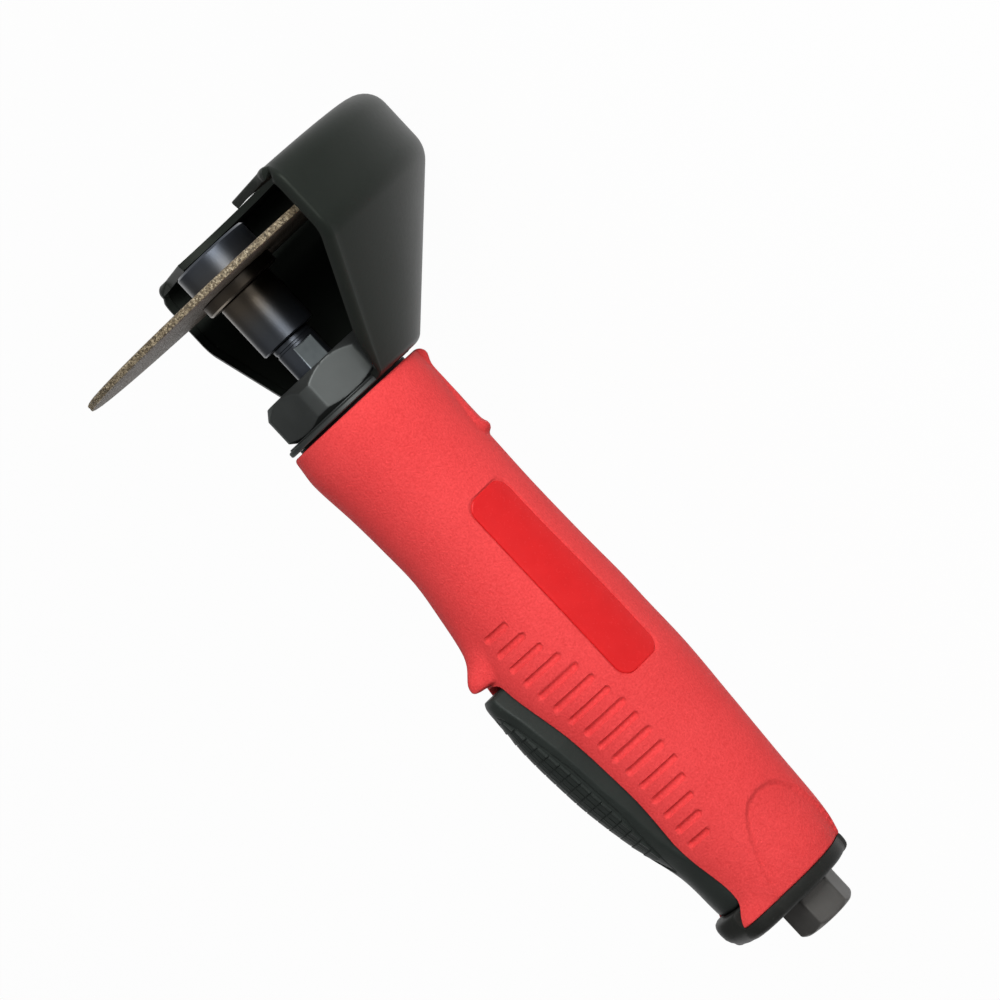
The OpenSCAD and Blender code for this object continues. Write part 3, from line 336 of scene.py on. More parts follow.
def bell(t):
    """Smooth hump: 1 at t = 0, and 0 from -1 down and from 1 up."""
    return np.where(np.abs(t) < 1, np.cos(np.pi / 2 * np.clip(t, -1, 1))**2, 0)


def near_flank(deg):
    """The angle itself on the -Y flank, and its mirror image there for the far flank."""
    return np.where(np.cos(np.radians(deg)) > 0, 180 - deg + np.where(deg > 180, 360, 0), deg)


def grip_skin(x, deg):
    """Radius of the grip's skin at a place along the axis and an angle from +Y towards +Z."""
    a = np.radians(deg)
    t = np.clip((x - grip_rear) / (grip_front - grip_rear), 0, 1)
    below, side, above = [grip_r * curve_through(grip_sections, column, t) for column in (1, 2, 3)]
    height = np.where(np.sin(a) < 0, below, above)
    plain = 1 / np.sqrt((np.cos(a) / side)**2 + (np.sin(a) / height)**2)
    lip = np.interp(x, *lip_rise.T) * bell((deg - 90) / np.interp(x, lip_width_x, lip_half_deg))
    from_back = np.abs((deg - 270 + 180) % 360 - 180)
    pad_half = np.interp(x, back_pad[:, 0], back_pad[:, 2])
    pad = np.interp(x, back_pad[:, 0], back_pad[:, 1], 0, 0) * eased((pad_half - from_back) / pad_edge_deg)
    flank = near_flank(deg)
    dip = np.interp(flank, *scoop_edge.T, 0, 0) - x
    scoop = sum(depth * eased(dip / slope) for depth, slope in zip(scoop_depths, scoop_slopes))
    shoulder = (shoulder_rise * bell((x - shoulder_x) / shoulder_reach_x)
                * bell((flank - shoulder_deg) / shoulder_reach_deg))
    return plain + lip + pad - scoop + shoulder


# Grooves: place along the axis, with the angles of their two ends on the -Y flank.
groove_count = 16
groove_x = np.linspace(114.7, 40.2, groove_count)
groove_numbers = np.array([1, 5, 8, 12, 16])
groove_low = np.interp(np.arange(1, groove_count + 1), groove_numbers, [132.6, 150, 157.2, 156.5, 136.7])
groove_high = np.interp(np.arange(1, groove_count + 1), groove_numbers, [116, 120.2, 125.6, 127.2, 121.8])
groove_half_w = 1.0
groove_depth = 0.95
groove_r = 21.5
label_rear, label_front = 83.13, 144.13
label_from, label_to = 169, 211.0
label_corner = 4.0
label_recess = 0.8
label_r = 21


def label_inside(x, deg, margin):
    """Distance in mm that a point lies inside the label's rounded outline, grown by a margin."""
    half_x = (label_front - label_rear) / 2 + margin
    half_s = math.radians(label_to - label_from) / 2 * label_r + margin
    away_x = np.abs(x - (label_front + label_rear) / 2) - half_x + label_corner
    away_s = np.abs(np.radians(deg - (label_from + label_to) / 2) * label_r) - half_s + label_corner
    past_corner = np.hypot(np.maximum(away_x, 0), np.maximum(away_s, 0))
    return label_corner - (past_corner + np.minimum(np.maximum(away_x, away_s), 0))


def groove_depth_at(x, deg):
    """Depth of the flank grooves, each with round ends and a round bottom."""
    flank = near_flank(deg)
    depth = np.zeros_like(x)
    for place, low, high in zip(groove_x, groove_low, groove_high):
        reach = np.maximum(0, np.maximum(flank - low, high - flank)) * math.radians(1) * groove_r
        away = np.hypot(x - place, reach) / groove_half_w
        depth = np.maximum(depth, groove_depth * np.sqrt(np.clip(1 - away**2, 0, 1)))
    return depth


def spread(stops, steps):
    """Places that run through the stops, each span with its own step."""
    parts = [np.linspace(a, b, max(2, round((b - a) / step) + 1))[:-1]
             for a, b, step in zip(stops, stops[1:], steps)]
    return np.concatenate(parts + [[stops[-1]]])


def new_piece(name, points, faces, materials, sharp=35):
    """A mesh object at the origin from points in mm, smooth but for edges sharper than an angle."""
    mesh = bpy.data.meshes.new(name)
    mesh.from_pydata((np.asarray(points) * MM).tolist(), [], faces)
    shell = bmesh.new()
    shell.from_mesh(mesh)
    bmesh.ops.remove_doubles(shell, verts=shell.verts, dist=0.0005 * MM)
    bmesh.ops.recalc_face_normals(shell, faces=shell.faces)
    shell.to_mesh(mesh)
    shell.free()
    mesh.shade_smooth()
    mesh.set_sharp_from_angle(angle=math.radians(sharp))
    for material in materials:
        mesh.materials.append(material)
    piece = bpy.data.objects.new(name, mesh)
    scene.collection.objects.link(piece)
    return piece


def round_points(x, r, deg):
    """Points about the X axis from their place along it, radius and angle from +Y towards +Z."""
    a = np.radians(deg)
    return np.stack(np.broadcast_arrays(x, r * np.cos(a), r * np.sin(a)), axis=-1)


def settle(piece, modifier):
    """Puts what a modifier makes of a piece in place of its mesh, and drops the modifier."""
    made = bpy.data.meshes.new_from_object(piece.evaluated_get(bpy.context.evaluated_depsgraph_get()))
    piece.modifiers.remove(modifier)
    old = piece.data
    piece.data = made
    bpy.data.meshes.remove(old)


def cut_away(piece, cutter, sharp):
    """Takes the cutter out of the piece, leaves a plain mesh and drops the cutter."""
    cut = piece.modifiers.new("cut", "BOOLEAN")
    cut.operation = "DIFFERENCE"
    cut.solver = "MANIFOLD"
    cut.object = cutter
    settle(piece, cut)
    bpy.data.objects.remove(cutter)
    piece.data.set_sharp_from_angle(angle=math.radians(sharp))


skin_x = spread([grip_rear, 15.2, 41, 103, 112, 117, 145, 152, 156, 181.6, grip_front],
                [0.15, 0.45, 0.3, 0.22, 0.3, 0.5, 0.8, 0.3, 0.9, 0.16])
skin_deg = spread([0, 21, 75, 105, 158, 166, 172, 208, 214, 360],
                  [1, 1.6, 1.5, 1.25, 1.1, 0.5, 2, 0.5, 2.2])[:-1]
grid_x, grid_deg = np.meshgrid(skin_x, skin_deg, indexing="ij")
skin = grip_skin(grid_x, grid_deg) - groove_depth_at(grid_x, grid_deg)
skin -= label_recess * eased(label_inside(grid_x, grid_deg, 0.25) / 0.5)
for fall, reach, depth in ((grid_x - grip_rear, 0.8, 0.7), (grip_front - grid_x, 1, 0.8)):
    skin -= depth * (1 - np.sqrt(1 - (1 - np.clip(fall / reach, 0, 1))**2))
motor_bay_r, motor_bay_rear, rear_bore_r = 18.35, 105.35, 13.567
bore = np.array([[grip_front, motor_bay_r], [motor_bay_rear, motor_bay_r],
                 [motor_bay_rear, rear_bore_r], [grip_rear, rear_bore_r]])
ring_x = np.concatenate([skin_x, bore[:, 0]])[:, None]
ring_r = np.concatenate([skin, np.repeat(bore[:, 1:], len(skin_deg), axis=1)])
grip_points = round_points(ring_x, ring_r, skin_deg).reshape(-1, 3)
grip_faces = wrapped_rows(len(ring_x), len(skin_deg), closed=True)


def moulding(name, dark, light, grain, wear, rough, gloss, tint, bump, wear_detail=4):
    """Grained plastic or paint. Grain and wear hold features per metre and shares in colour and roughness."""
    material, tree = new_material(name)
    grains = blotches(tree, grain[0], detail=2)
    handling = blotches(tree, wear[0], detail=wear_detail)
    finish(tree, {
        "Base Color": mixed(tree, grains * grain[1] + handling * wear[1], dark, light),
        "Roughness": rough + (handling - 0.5) * wear[2] + (grains - 0.5) * grain[2],
        "Specular IOR Level": gloss, "Specular Tint": tint}, grains, *bump)
    return material


red_moulding = moulding(
    "red_moulding", (0.54, 0.02, 0.022, 1), (0.93, 0.098, 0.098, 1), grain=(1800, 0.7, 0.14),
    wear=(45, 0.3, 0.16), rough=0.6, gloss=0.1, tint=(1, 0.45, 0.43, 1), bump=(0.9, 0.20 * MM))
grip = new_piece("red_grip", grip_points, grip_faces, [red_moulding])
slot_outline = np.array([
    [10, 7.4], [15.5, 7.4], [17.5, 7.8], [19.5, 8.6], [21.5, 9.1], [24, 9.3], [27, 9.2], [31, 8.8], [35, 8.3],
    [39, 8], [43, 8], [47, 8.4], [52, 8.9], [58, 9.3], [74, 9.3], [82, 9], [86, 8.6], [90, 8], [94, 7.2],
    [98, 6.2], [101, 5.4], [102.6, 5], [103.6, 4.4], [104.3, 3.2], [104.7, 1.5], [104.8, 0]])
slot_low, slot_high = 13.217, 44.0
slot_loop = np.concatenate([slot_outline, slot_outline[-2::-1] * [1, -1]])


def closed_bar(name, loops, materials, sharp=35):
    """A solid through loops of points, with a flat face at each end."""
    rows, columns = len(loops), len(loops[0])
    faces = wrapped_rows(rows, columns)
    faces += [tuple(range(start, start + columns)) for start in (0, (rows - 1) * columns)]
    return new_piece(name, np.concatenate(loops), faces, materials, sharp)


slot_loops = [np.insert(slot_loop, 2, z, axis=1) for z in (slot_low, slot_high)]
cut_away(grip, closed_bar("slot_cutter", slot_loops, [red_moulding]), 38)
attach(grip, "handle")
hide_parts("grip_sleeve")

# Label plate: a thin smooth plate, lacquered in a brighter red and glued into the recess of the grip.
# It is bent to the flank and left bare, with rounded corners and a soft edge.
label_sink = 0.35
label_t = 0.4
label_margin = -0.22
label_edge, label_edge_drop = 0.35, 0.22
plate_ends = np.array([0, 0.1, 0.3, 0.7, 1.3, 2.1, 3, 4])
plate_end_run = 6
plate_x = np.concatenate([label_rear - label_margin + plate_ends,
                          np.linspace(label_rear + plate_end_run, label_front - plate_end_run, 40),
                          label_front + label_margin - plate_ends[::-1]])
end_gap = np.minimum(plate_x - plate_x[0], plate_x[-1] - plate_x)
plate_half = math.radians(label_to - label_from) / 2 * label_r + label_margin
plate_half = plate_half - label_corner + np.sqrt(label_corner**2 - np.maximum(0, label_corner - end_gap)**2)
across = np.sin(np.linspace(-1, 1, 31) * math.pi / 2)
plate_xs = np.repeat(plate_x[:, None], len(across), axis=1)
plate_deg = (label_from + label_to) / 2 + np.degrees(plate_half[:, None] * across[None, :] / label_r)
edge_gap = np.clip(label_inside(plate_xs, plate_deg, label_margin) / label_edge, 0, 1)
plate_face = grip_skin(plate_xs, plate_deg) - label_sink
plate_top = plate_face - label_edge_drop * (1 - np.sqrt(1 - (1 - edge_gap)**2))
plate_low = plate_face - label_t
plate_loop = [np.concatenate([outer, inner[:, ::-1]], axis=1) for outer, inner in (
    (plate_xs, plate_xs), (plate_top, plate_low), (plate_deg, plate_deg))]


def sheet(name, sections, materials, sharp=35):
    """A sheet from sections that run out along its one face and back along the other."""
    rows, columns = len(sections), len(sections[0])
    faces = wrapped_rows(rows, columns)
    for start in (0, (rows - 1) * columns):
        end = start + columns - 1
        faces += [(start + c, start + c + 1, end - 1 - c, end - c) for c in range(columns // 2 - 1)]
    return new_piece(name, np.concatenate(sections), faces, materials, sharp)


label_red, tree = new_material("label_red")
ripple = blotches(tree, 180, detail=2)
scuffs = blotches(tree, 1400, detail=2)
finish(tree, {"Base Color": mixed(tree, ripple, (0.58, 0.01, 0.012, 1), (0.66, 0.016, 0.018, 1)),
              "Roughness": 0.26 + (scuffs - 0.5) * 0.1, "Specular IOR Level": 0.3,
              "Specular Tint": (1, 0.5, 0.48, 1)}, ripple, 0.15, 0.05 * MM)
label = sheet("label_plate_bare", round_points(*plate_loop), [label_red])
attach(label, "handle")
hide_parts("label_plate")

# End cap: a black moulded plate that closes the rear of the grip, held by the inlet's shoulder.
# Its rear face is slightly domed, with a ring of exhaust holes, and a heel stands up behind the lever.
cap_front, cap_rear, cap_bore = 14.25, 9.3, 7.46
cap_boss = cap_bore + 1.6
cap_least_r = cap_bore + 2.2
cap_profile = [(cap_front, 0.1), (13.6, 0), (12.4, 0.05), (11.3, 0.25), (10.7, 0.6), (10.3, 1.15),
               (10.05, 1.9), (9.85, 3.2), (9.6, 6)]
cap_deg = np.linspace(0, 360, 181)[:-1]
cap_skin = grip_skin(np.full_like(cap_deg, grip_rear), cap_deg)
cap_outline = [(x, np.maximum(cap_skin - inset, cap_least_r)) for x, inset in cap_profile]
cap_outline += [(cap_rear, cap_boss), (cap_rear, cap_bore), (cap_front, cap_bore)]


def lathe(name, outline, deg, materials, sharp=35):
    """A closed ring about the X axis from (x, radius) rows. A radius may be an array over the angles."""
    rings = [round_points(x, np.broadcast_to(r, deg.shape), deg) for x, r in outline]
    faces = wrapped_rows(len(rings), len(deg), closed=True)
    return new_piece(name, np.concatenate(rings), faces, materials, sharp)


black_moulding = moulding(
    "black_moulding", (0.0105, 0.011, 0.01, 1), (0.021, 0.022, 0.02, 1), grain=(2100, 0, 0.1),
    wear=(60, 1, 0.2), rough=0.5, gloss=0.25, tint=(0.4, 0.4, 0.4, 1), bump=(0.45, 0.10 * MM))
cap = lathe("end_cap_plate", cap_outline[::-1], cap_deg, [black_moulding])


def geometry_tree(name, sizes):
    """An empty geometry tree with named float inputs, and sockets that start in it and hold its inputs."""
    group = bpy.data.node_groups.new(name, "GeometryNodeTree")
    for way in ("INPUT", "OUTPUT"):
        group.interface.new_socket("Geometry", in_out=way, socket_type="NodeSocketGeometry")
    for size_name in sizes:
        group.interface.new_socket(size_name, in_out="INPUT", socket_type="NodeSocketFloat")
    entry = group.nodes.new("NodeGroupInput")
    inputs = {socket.name: Socket(group, socket) for socket in entry.outputs if socket.name}
    return Socket(group), inputs


def grow(piece, tree, instances, material, sizes):
    """Ends a geometry tree, runs it on a piece and leaves its result as a plain mesh."""
    solid = tree.node("GeometryNodeRealizeInstances", {"Geometry": instances})
    tree.node("NodeGroupOutput", {0: tree.node("GeometryNodeSetMaterial", {
        "Geometry": solid, "Material": material})})
    modifier = piece.modifiers.new("grown", "NODES")
    modifier.node_group = tree.tree
    for item in tree.tree.interface.items_tree:
        if item.in_out == "INPUT" and item.name in sizes:
            modifier[item.identifier] = float(sizes[item.name])
    settle(piece, modifier)


hole_sizes = {"Ring radius": 10.9 * MM, "Hole radius": 1.5 * MM,
              "Hole depth": 14 * MM, "Plate middle": 11.8 * MM}
tree, size = geometry_tree("exhaust_holes", hole_sizes)
ring = tree.node("GeometryNodeMeshCircle", {"Vertices": 8, "Radius": size["Ring radius"]})
drill = tree.node("GeometryNodeMeshCylinder", {
    "Vertices": 24, "Radius": size["Hole radius"], "Depth": size["Hole depth"]})
holes = tree.node("GeometryNodeInstanceOnPoints", {"Points": ring, "Instance": drill})
lain = tree.node("GeometryNodeTransform", {
    "Geometry": holes, "Rotation": (0, math.pi / 2, 0),
    "Translation": tree.node("CombineXYZ", {"X": size["Plate middle"]})})
drills = new_piece("exhaust_drills", [(0, 0, 0)], [], [black_moulding])
grow(drills, tree, lain, black_moulding, hole_sizes)
cut_away(cap, drills, 40)

# Heel: place along the axis, height of its crest and half width.
heel_shape = np.array([
    [9.75, 18.6, 6.4], [9.85, 19.9, 6.8], [10.1, 20.9, 7.05], [10.6, 21.85, 7.15], [11.3, 22.75, 7.15],
    [12.2, 23.6, 7.15], [13.2, 24.3, 7.15], [14.5, 24.85, 7.15], [16, 25, 7.2], [17.4, 24.95, 7.35],
    [18.4, 24.65, 7.4], [19, 24.2, 7.4], [19.3, 23.5, 7.3], [19.4, 22.6, 7.1]])
heel_foot, heel_arch, heel_bend = 13.6, 2.6, 0.7


def corner_arc(w, bend, lean, join_z, count):
    """Round that leads from a side wall at -w into a crown, which leans where it is joined."""
    t = np.linspace(math.pi, math.pi / 2 + lean, count)
    hub = join_z - bend * math.cos(lean)
    return np.column_stack([-w + bend + bend * np.cos(t), hub + bend * np.sin(t)])


heel_rows = []
for x, crest, w in heel_shape:
    lean = math.atan(2 * heel_arch * (w - heel_bend) / w**2)
    join = w - heel_bend + heel_bend * math.sin(lean)
    y = np.linspace(-join, join, 25)
    arch = crest - heel_arch * (y / w)**2
    side = np.concatenate([[[-w, heel_foot]], corner_arc(w, heel_bend, lean, arch[0], 6)[:-1]])
    loop = np.concatenate([side, np.column_stack([y, arch]), side[::-1] * [-1, 1]])
    heel_rows.append(np.column_stack([np.full(len(loop), x), loop]))
heel = closed_bar("end_cap_heel", heel_rows, [black_moulding])
for piece in (cap, heel):
    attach(piece, "handle")
    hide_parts("end_cap")

# Air inlet: a hexagonal steel bushing, blackened, screwed into the housing through the end cap.
# Its mouth is chamfered and its bore has a tapered pipe thread.
inlet_af = 16.0
inlet_corner_deg, inlet_corner_r = 82.3, 9.16
inlet_front, inlet_shank_r, inlet_bore = 30, 7.4, 4.05
thread_pitch, thread_depth = 1.41, 0.42
thread_r, thread_taper, thread_floor = 6.25, 0.045, 13.0
thread_from, thread_to, thread_faded = 0.9, 12.2, 12.1


def hex_r(deg, across_flats, corner_deg):
    """Radius of a hexagon at an angle, with one corner at the given angle."""
    return across_flats / 2 / np.cos(np.radians((deg - corner_deg) % 60 - 30))


hex_steps = np.array([0, 1, 3, 8, 16, 24, 30, 36, 44, 52, 57, 59])
hex_deg = inlet_corner_deg + np.concatenate([60 * k + hex_steps for k in range(6)])
inlet_hex = np.minimum(hex_r(hex_deg, inlet_af, inlet_corner_deg), inlet_corner_r)
mouth_chamfer = [(1.1, 9), (0.7, 8.65), (0.3, 8.1), (0.05, 7.7)]
inlet_outline = [(inlet_front, inlet_bore), (inlet_front, inlet_shank_r), (cap_rear, inlet_shank_r),
                 (cap_rear, np.minimum(inlet_hex, 8.9)), (8.95, inlet_hex), (1.5, inlet_hex)]
inlet_outline += [(x, np.minimum(inlet_hex, r)) for x, r in mouth_chamfer]
inlet_outline += [(0, 7.45), (0, 6.95), (0.75, thread_r)]
for x in np.arange(thread_from, thread_to, thread_pitch / 6):
    wind = np.abs(((x / thread_pitch + hex_deg / 360) % 1) * 2 - 1)
    fade = min(1, x - thread_from, (thread_faded - x) / 1.2)
    inlet_outline.append((x, thread_r - thread_taper * x + thread_depth * (wind - 0.5) * max(0, fade)))
inlet_outline += [(12.6, 5.75), (thread_floor, 5.5), (thread_floor, inlet_bore)]

gunmetal = metal("gunmetal", (0.052, 0.05, 0.047, 1), (0.096, 0.092, 0.086, 1), 0.46, 0.2, 160, 0.12,
                 fineness=15, metallic=0.6, detail=4)
inlet = lathe("inlet_hex_bushing", inlet_outline[::-1], hex_deg, [gunmetal])
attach(inlet, "handle")
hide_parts("inlet_bushing")

# Throttle lever: a black glass-filled moulding of channel section, hinged on a dowel in front of the heel.
# Its crown swells towards the fingers, narrows in plan at the tip and carries a lens-shaped tread of blocks.
# A rib inside presses on the valve's stem.
pivot_x, pivot_z = 24.4, 15.7
lever_reach, lever_crown_h = 78, 12.9

# Crown and skirt: shares of the reach and of the crown's height, from the pivot.
lever_crown = np.array([
    [-0.061, 0.31], [-0.053, 0.35], [-0.036, 0.362], [0, 0.372], [0.06, 0.382], [0.115, 0.412], [0.17, 0.48],
    [0.22, 0.565], [0.27, 0.65], [0.32, 0.725], [0.42, 0.84], [0.53, 0.94], [0.63, 0.995], [0.73, 1.035],
    [0.81, 1.045], [0.885, 1.025], [0.94, 1.015], [0.985, 1], [1.005, 0.95]])
lever_skirt = np.array([[-0.08, -0.14], [0.05, -0.12], [0.15, 0.14], [0.4, 0.23], [0.7, 0.33], [1, 0.42]])

# Lever and tread in plan: place along the axis and half width.
lever_plan = np.array([
    [19.7, 6.7], [20.1, 7.3], [20.9, 7.95], [22.2, 8.4], [24, 8.6], [27, 8.5], [31, 8.2], [35, 7.7],
    [39, 7.4], [43, 7.4], [47, 7.8], [52, 8.3], [58, 8.75], [74, 8.75], [82, 8.45], [86, 8], [90, 7.4],
    [94, 6.6], [98, 5.5], [100.6, 4.7], [102, 4.25], [102.6, 3.8], [102.9, 2.8]])
tread_rear, tread_front = 36, 98.6
tread_plan = np.array([
    [tread_rear, 0], [39, 1.4], [44, 3.6], [50, 5.2], [58, 6.6], [66, 7], [76, 6.95], [84, 6.1], [90, 4.9],
    [94, 3.6], [97, 2], [tread_front, 0]])
crown_rise, crown_fall, crown_half = 1.4, 3.2, 7.5
arch_x, arch_shares = [24, 44, 60, 94, 102.8], [0.6, 0.8, 1, 1, 0.7]
bend_x, bend_r = [24, 46, 60], [2, 1.8, 1.2]
hollow_from, hollow_full, hollow_to = 27.4, 28.6, 99
hinge_hollow, hinge_roof, side_wall, top_wall = 3.3, 18.6, 2, 2.4
lens_depth, lens_groove, lens_groove_w, lens_end = 0.3, 0.5, 0.6, 2


def crown_z(x):
    """Height of the crown's profile along the lever."""
    return pivot_z + lever_crown_h * curve_through(lever_crown, 1, (x - pivot_x) / lever_reach)


def crown_drop(x, y):
    """Fall of the crown below its profile: it is arched across, more so where it is wide and high."""
    share = np.interp(x, arch_x, arch_shares)
    return share * (crown_fall * (np.abs(y) / crown_half)**2 - crown_rise)


def lever_ring(x):
    """One section of the lever: the outer channel from the -Y foot over the crown, then the inner one."""
    w = float(np.interp(x, *lever_plan.T))
    top = float(crown_z(np.array([x]))[0])
    foot = pivot_z + lever_crown_h * float(np.interp((x - pivot_x) / lever_reach, *lever_skirt.T))
    bend = min(float(np.interp(x, bend_x, bend_r)), 0.5 * w, 0.4 * (top - foot))
    lean = math.atan(float(crown_drop(x, w - bend + 0.01) - crown_drop(x, w - bend - 0.01)) / 0.02)
    join = w - bend + bend * math.sin(lean)
    arc = corner_arc(w, bend, lean, top - float(crown_drop(x, join)), 8)
    wall = np.column_stack([np.full(6, -w), np.linspace(foot, arc[0, 1], 6)])
    y = np.linspace(-join, join, 75)[1:-1]
    inside = np.interp(x, *tread_plan.T) - np.abs(y)
    sunk = lens_depth * eased(inside / lens_depth + 1) + lens_groove * bell((inside + 0.1) / lens_groove_w)
    lens = sunk * eased((x - tread_rear) / lens_end) * eased((tread_front - x) / lens_end)
    crest = np.column_stack([y, top - crown_drop(x, y) - lens])
    left = np.concatenate([wall, arc[1:]])
    outer = np.concatenate([left, crest, left[::-1] * [-1, 1]])
    hollow, roof = 0.25, foot + 0.05
    if x < hollow_to:
        opened = np.interp(x, [hollow_from, hollow_full], [0, 1])
        hollow = max(hollow, min(hinge_hollow + (w - side_wall - hinge_hollow) * opened, w - 0.3))
        roof = hinge_roof + (top - top_wall - hinge_roof) * opened
    inner = np.array([[hollow, foot], [hollow, roof], [hollow * 0.5, roof],
                      [-hollow * 0.5, roof], [-hollow, roof], [-hollow, foot]])
    loop = np.concatenate([outer, inner])
    return np.column_stack([np.full(len(loop), x), loop])


lever_x = spread([19.7, 20.5, 36.5, tread_front, 101.5, 102.9], [0.13, 0.7, 0.4, 0.35, 0.1])
lever_x = np.sort(np.concatenate([lever_x, [hollow_from, hollow_full, hollow_to - 0.02, hollow_to + 0.02]]))
lever_moulding = moulding(
    "lever_moulding", (0.012, 0.015, 0.0135, 1), (0.026, 0.031, 0.028, 1), grain=(1900, 0, 0.1),
    wear=(70, 1, 0.2), rough=0.48, gloss=0.28, tint=(0.5, 0.53, 0.51, 1), bump=(0.45, 0.10 * MM))
lever = closed_bar("lever_channel", [lever_ring(x) for x in lever_x], [lever_moulding], 42)

# Tread: rows of blocks across the crown, each between two thin bars that follow the lens's outline.
block_pitch, block_rows, block_gap, block_sink = 3.6, 7, 0.1, 0.47
block_half, tread_margin, least_reach = 1.6, 0.45, 2.0
bar_inset, bar_w, bar_room, near_bar_rise = 0.25, 0.45, 0.6, 0.3
block_spots, block_tilts, block_widths = [], [], []
for x in np.arange(40.6, 97, block_pitch):
    ends = np.interp([x - block_half, x + block_half], *tread_plan.T) - tread_margin
    reach = ends.mean()
    if reach < least_reach:
        continue
    row_pitch = 2 * (reach - bar_room) / block_rows
    rows = [(-reach + bar_inset, bar_w, near_bar_rise), (reach - bar_inset, bar_w, 0)]
    rows += [(-reach + bar_room + (k + 0.5) * row_pitch, row_pitch - block_gap, 0)
             for k in range(block_rows)]
    for y, wide, proud in rows:
        rise = crown_z(np.array([x - 0.5, x + 0.5]))
        lean = crown_drop(x, y - 0.5) - crown_drop(x, y + 0.5)
        block_spots.append((x, y, rise.mean() - crown_drop(x, y) - block_sink + proud))
        block_tilts.append((0 if proud else math.atan(lean), -math.atan(rise[1] - rise[0]),
                            math.atan((ends[1] - ends[0]) / (2 * block_half) * y / reach)))
        block_widths.append((1, wide, 1))
tread = new_piece("lever_tread", block_spots, [], [lever_moulding])
for field, rows in (("tilt", block_tilts), ("width", block_widths)):
    held = tread.data.attributes.new(field, "FLOAT_VECTOR", "POINT")
    held.data.foreach_set("vector", np.array(rows, dtype=float).ravel())
block_sizes = {"Block length": 3.36 * MM, "Block width": 1.0 * MM,
               "Block height": 0.8 * MM, "Top share": 0.96}
tree, size = geometry_tree("tread_blocks", block_sizes)
block = tree.node("GeometryNodeMeshCube", {"Size": tree.node("CombineXYZ", {
    "X": size["Block length"], "Y": size["Block width"], "Z": size["Block height"]})})
facing = tree.node("SeparateXYZ", {0: tree.node("GeometryNodeInputNormal")}, out="Z")
drafted = tree.node("GeometryNodeScaleElements", {
    "Geometry": block, "Selection": tree.math("GREATER_THAN", facing, 0.5), "Scale": size["Top share"]})
tilt, width = [tree.node("GeometryNodeInputNamedAttribute", {"Name": field}, data_type="FLOAT_VECTOR")
               for field in ("tilt", "width")]
blocks = tree.node("GeometryNodeInstanceOnPoints", {
    "Points": size["Geometry"], "Instance": drafted, "Rotation": tilt, "Scale": width})
grow(tread, tree, blocks, lever_moulding, block_sizes)

rib_half, rib_foot, rib_top = 7.4, 16.75, 24.0
rib_rear, rib_front = 52.6, 58.2
rib_section = [(-rib_half, rib_foot), (rib_half, rib_foot), (rib_half, rib_top), (-rib_half, rib_top)]
rib_loops = [[(x, y, z) for y, z in rib_section] for x in (rib_rear, rib_front)]
rib = closed_bar("lever_contact_rib", rib_loops, [lever_moulding])
soften = rib.modifiers.new("soft_edges", "BEVEL")
soften.width = 0.3 * MM
soften.segments = 2
for piece in (lever, tread, rib):
    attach(piece, "lever")
    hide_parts("throttle_lever")

# Clamp nut: a blackened steel hexagon, screwed into the housing's front to hold the guard and the motor.
# Both ends of the hexagon are chamfered by turning, which leaves round-topped flats.
nut_af = 35.0
nut_rear, nut_front, nut_tail = 185.47, 197.2, 169.4
nut_corner_deg, nut_corner_r, nut_face_r = 80.2, 19.2, 16.9
nut_rear_chamfer, nut_front_chamfer = (17.3, 1.35), (17.2, 0.78)
nut_web, seal_front, nut_lip = 186.8, 189.8, 196.4
nut_thread_r, nut_bore, seal_r, shaft_hole_r = 16.75, 12.6, 9.5, 6.4
nut_deg = nut_corner_deg + np.concatenate([60 * k + np.linspace(0, 60, 41)[:-1] for k in range(6)])
nut_hex = np.minimum(hex_r(nut_deg, nut_af, nut_corner_deg), nut_corner_r)
nut_steps = np.array([0.1, 0.35, 0.6, 0.85, 1.1, 1.35, 1.6, 1.85, 2.1, 2.35, 2.6, 3.2])
nut_outline = [(nut_rear, nut_face_r)]
for end, way, (first_r, slope) in ((nut_rear, 1, nut_rear_chamfer), (nut_front, -1, nut_front_chamfer)):
    nut_outline += [(end + way * step, np.minimum(nut_hex, first_r + step * slope))
                    for step in nut_steps[::way]]
nut_outline += [(nut_front, nut_face_r), (nut_front, 7.6), (nut_lip, 6.9), (nut_lip, shaft_hole_r),
                (seal_front, shaft_hole_r), (seal_front, seal_r), (nut_web, seal_r), (nut_web, nut_bore),
                (nut_tail, nut_bore), (nut_tail, 16.5), (170.2, nut_thread_r), (nut_rear, nut_thread_r)]


def own_place(tree):
    """The piece's own coordinates: the vector, then its X, Y and Z and the distance from the X axis."""
    place = tree.node("TexCoord", out="Object")
    x, y, z = [tree.node("SeparateXYZ", {0: place}, out=axis) for axis in "XYZ"]
    return place, x, y, z, (y * y + z * z)**0.5


def ring_marks(tree, scale):
    """Turning marks: noise that changes along the axis and outwards, and not round the piece."""
    _, x, _, _, reach = own_place(tree)
    spot = tree.node("CombineXYZ", {"X": x * scale, "Y": reach * scale})
    return tree.node("TexNoise", {"Vector": spot, "Scale": 1, "Detail": 3.0})


black_oxide, tree = new_material("black_oxide")
drift = blotches(tree, 120, detail=4)
marks = ring_marks(tree, 3000)
finish(tree, {"Base Color": mixed(tree, drift, (0.05, 0.054, 0.053, 1), (0.082, 0.088, 0.086, 1)),
              "Metallic": 0.75, "Roughness": 0.48 + (drift - 0.5) * 0.16,
              "Specular Tint": (0.4, 0.42, 0.41, 1)}, marks, 0.05, 0.04 * MM)
nut = lathe("clamp_nut_hex", nut_outline, nut_deg, [black_oxide], 22)
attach(nut, "handle")
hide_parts("clamp_nut")

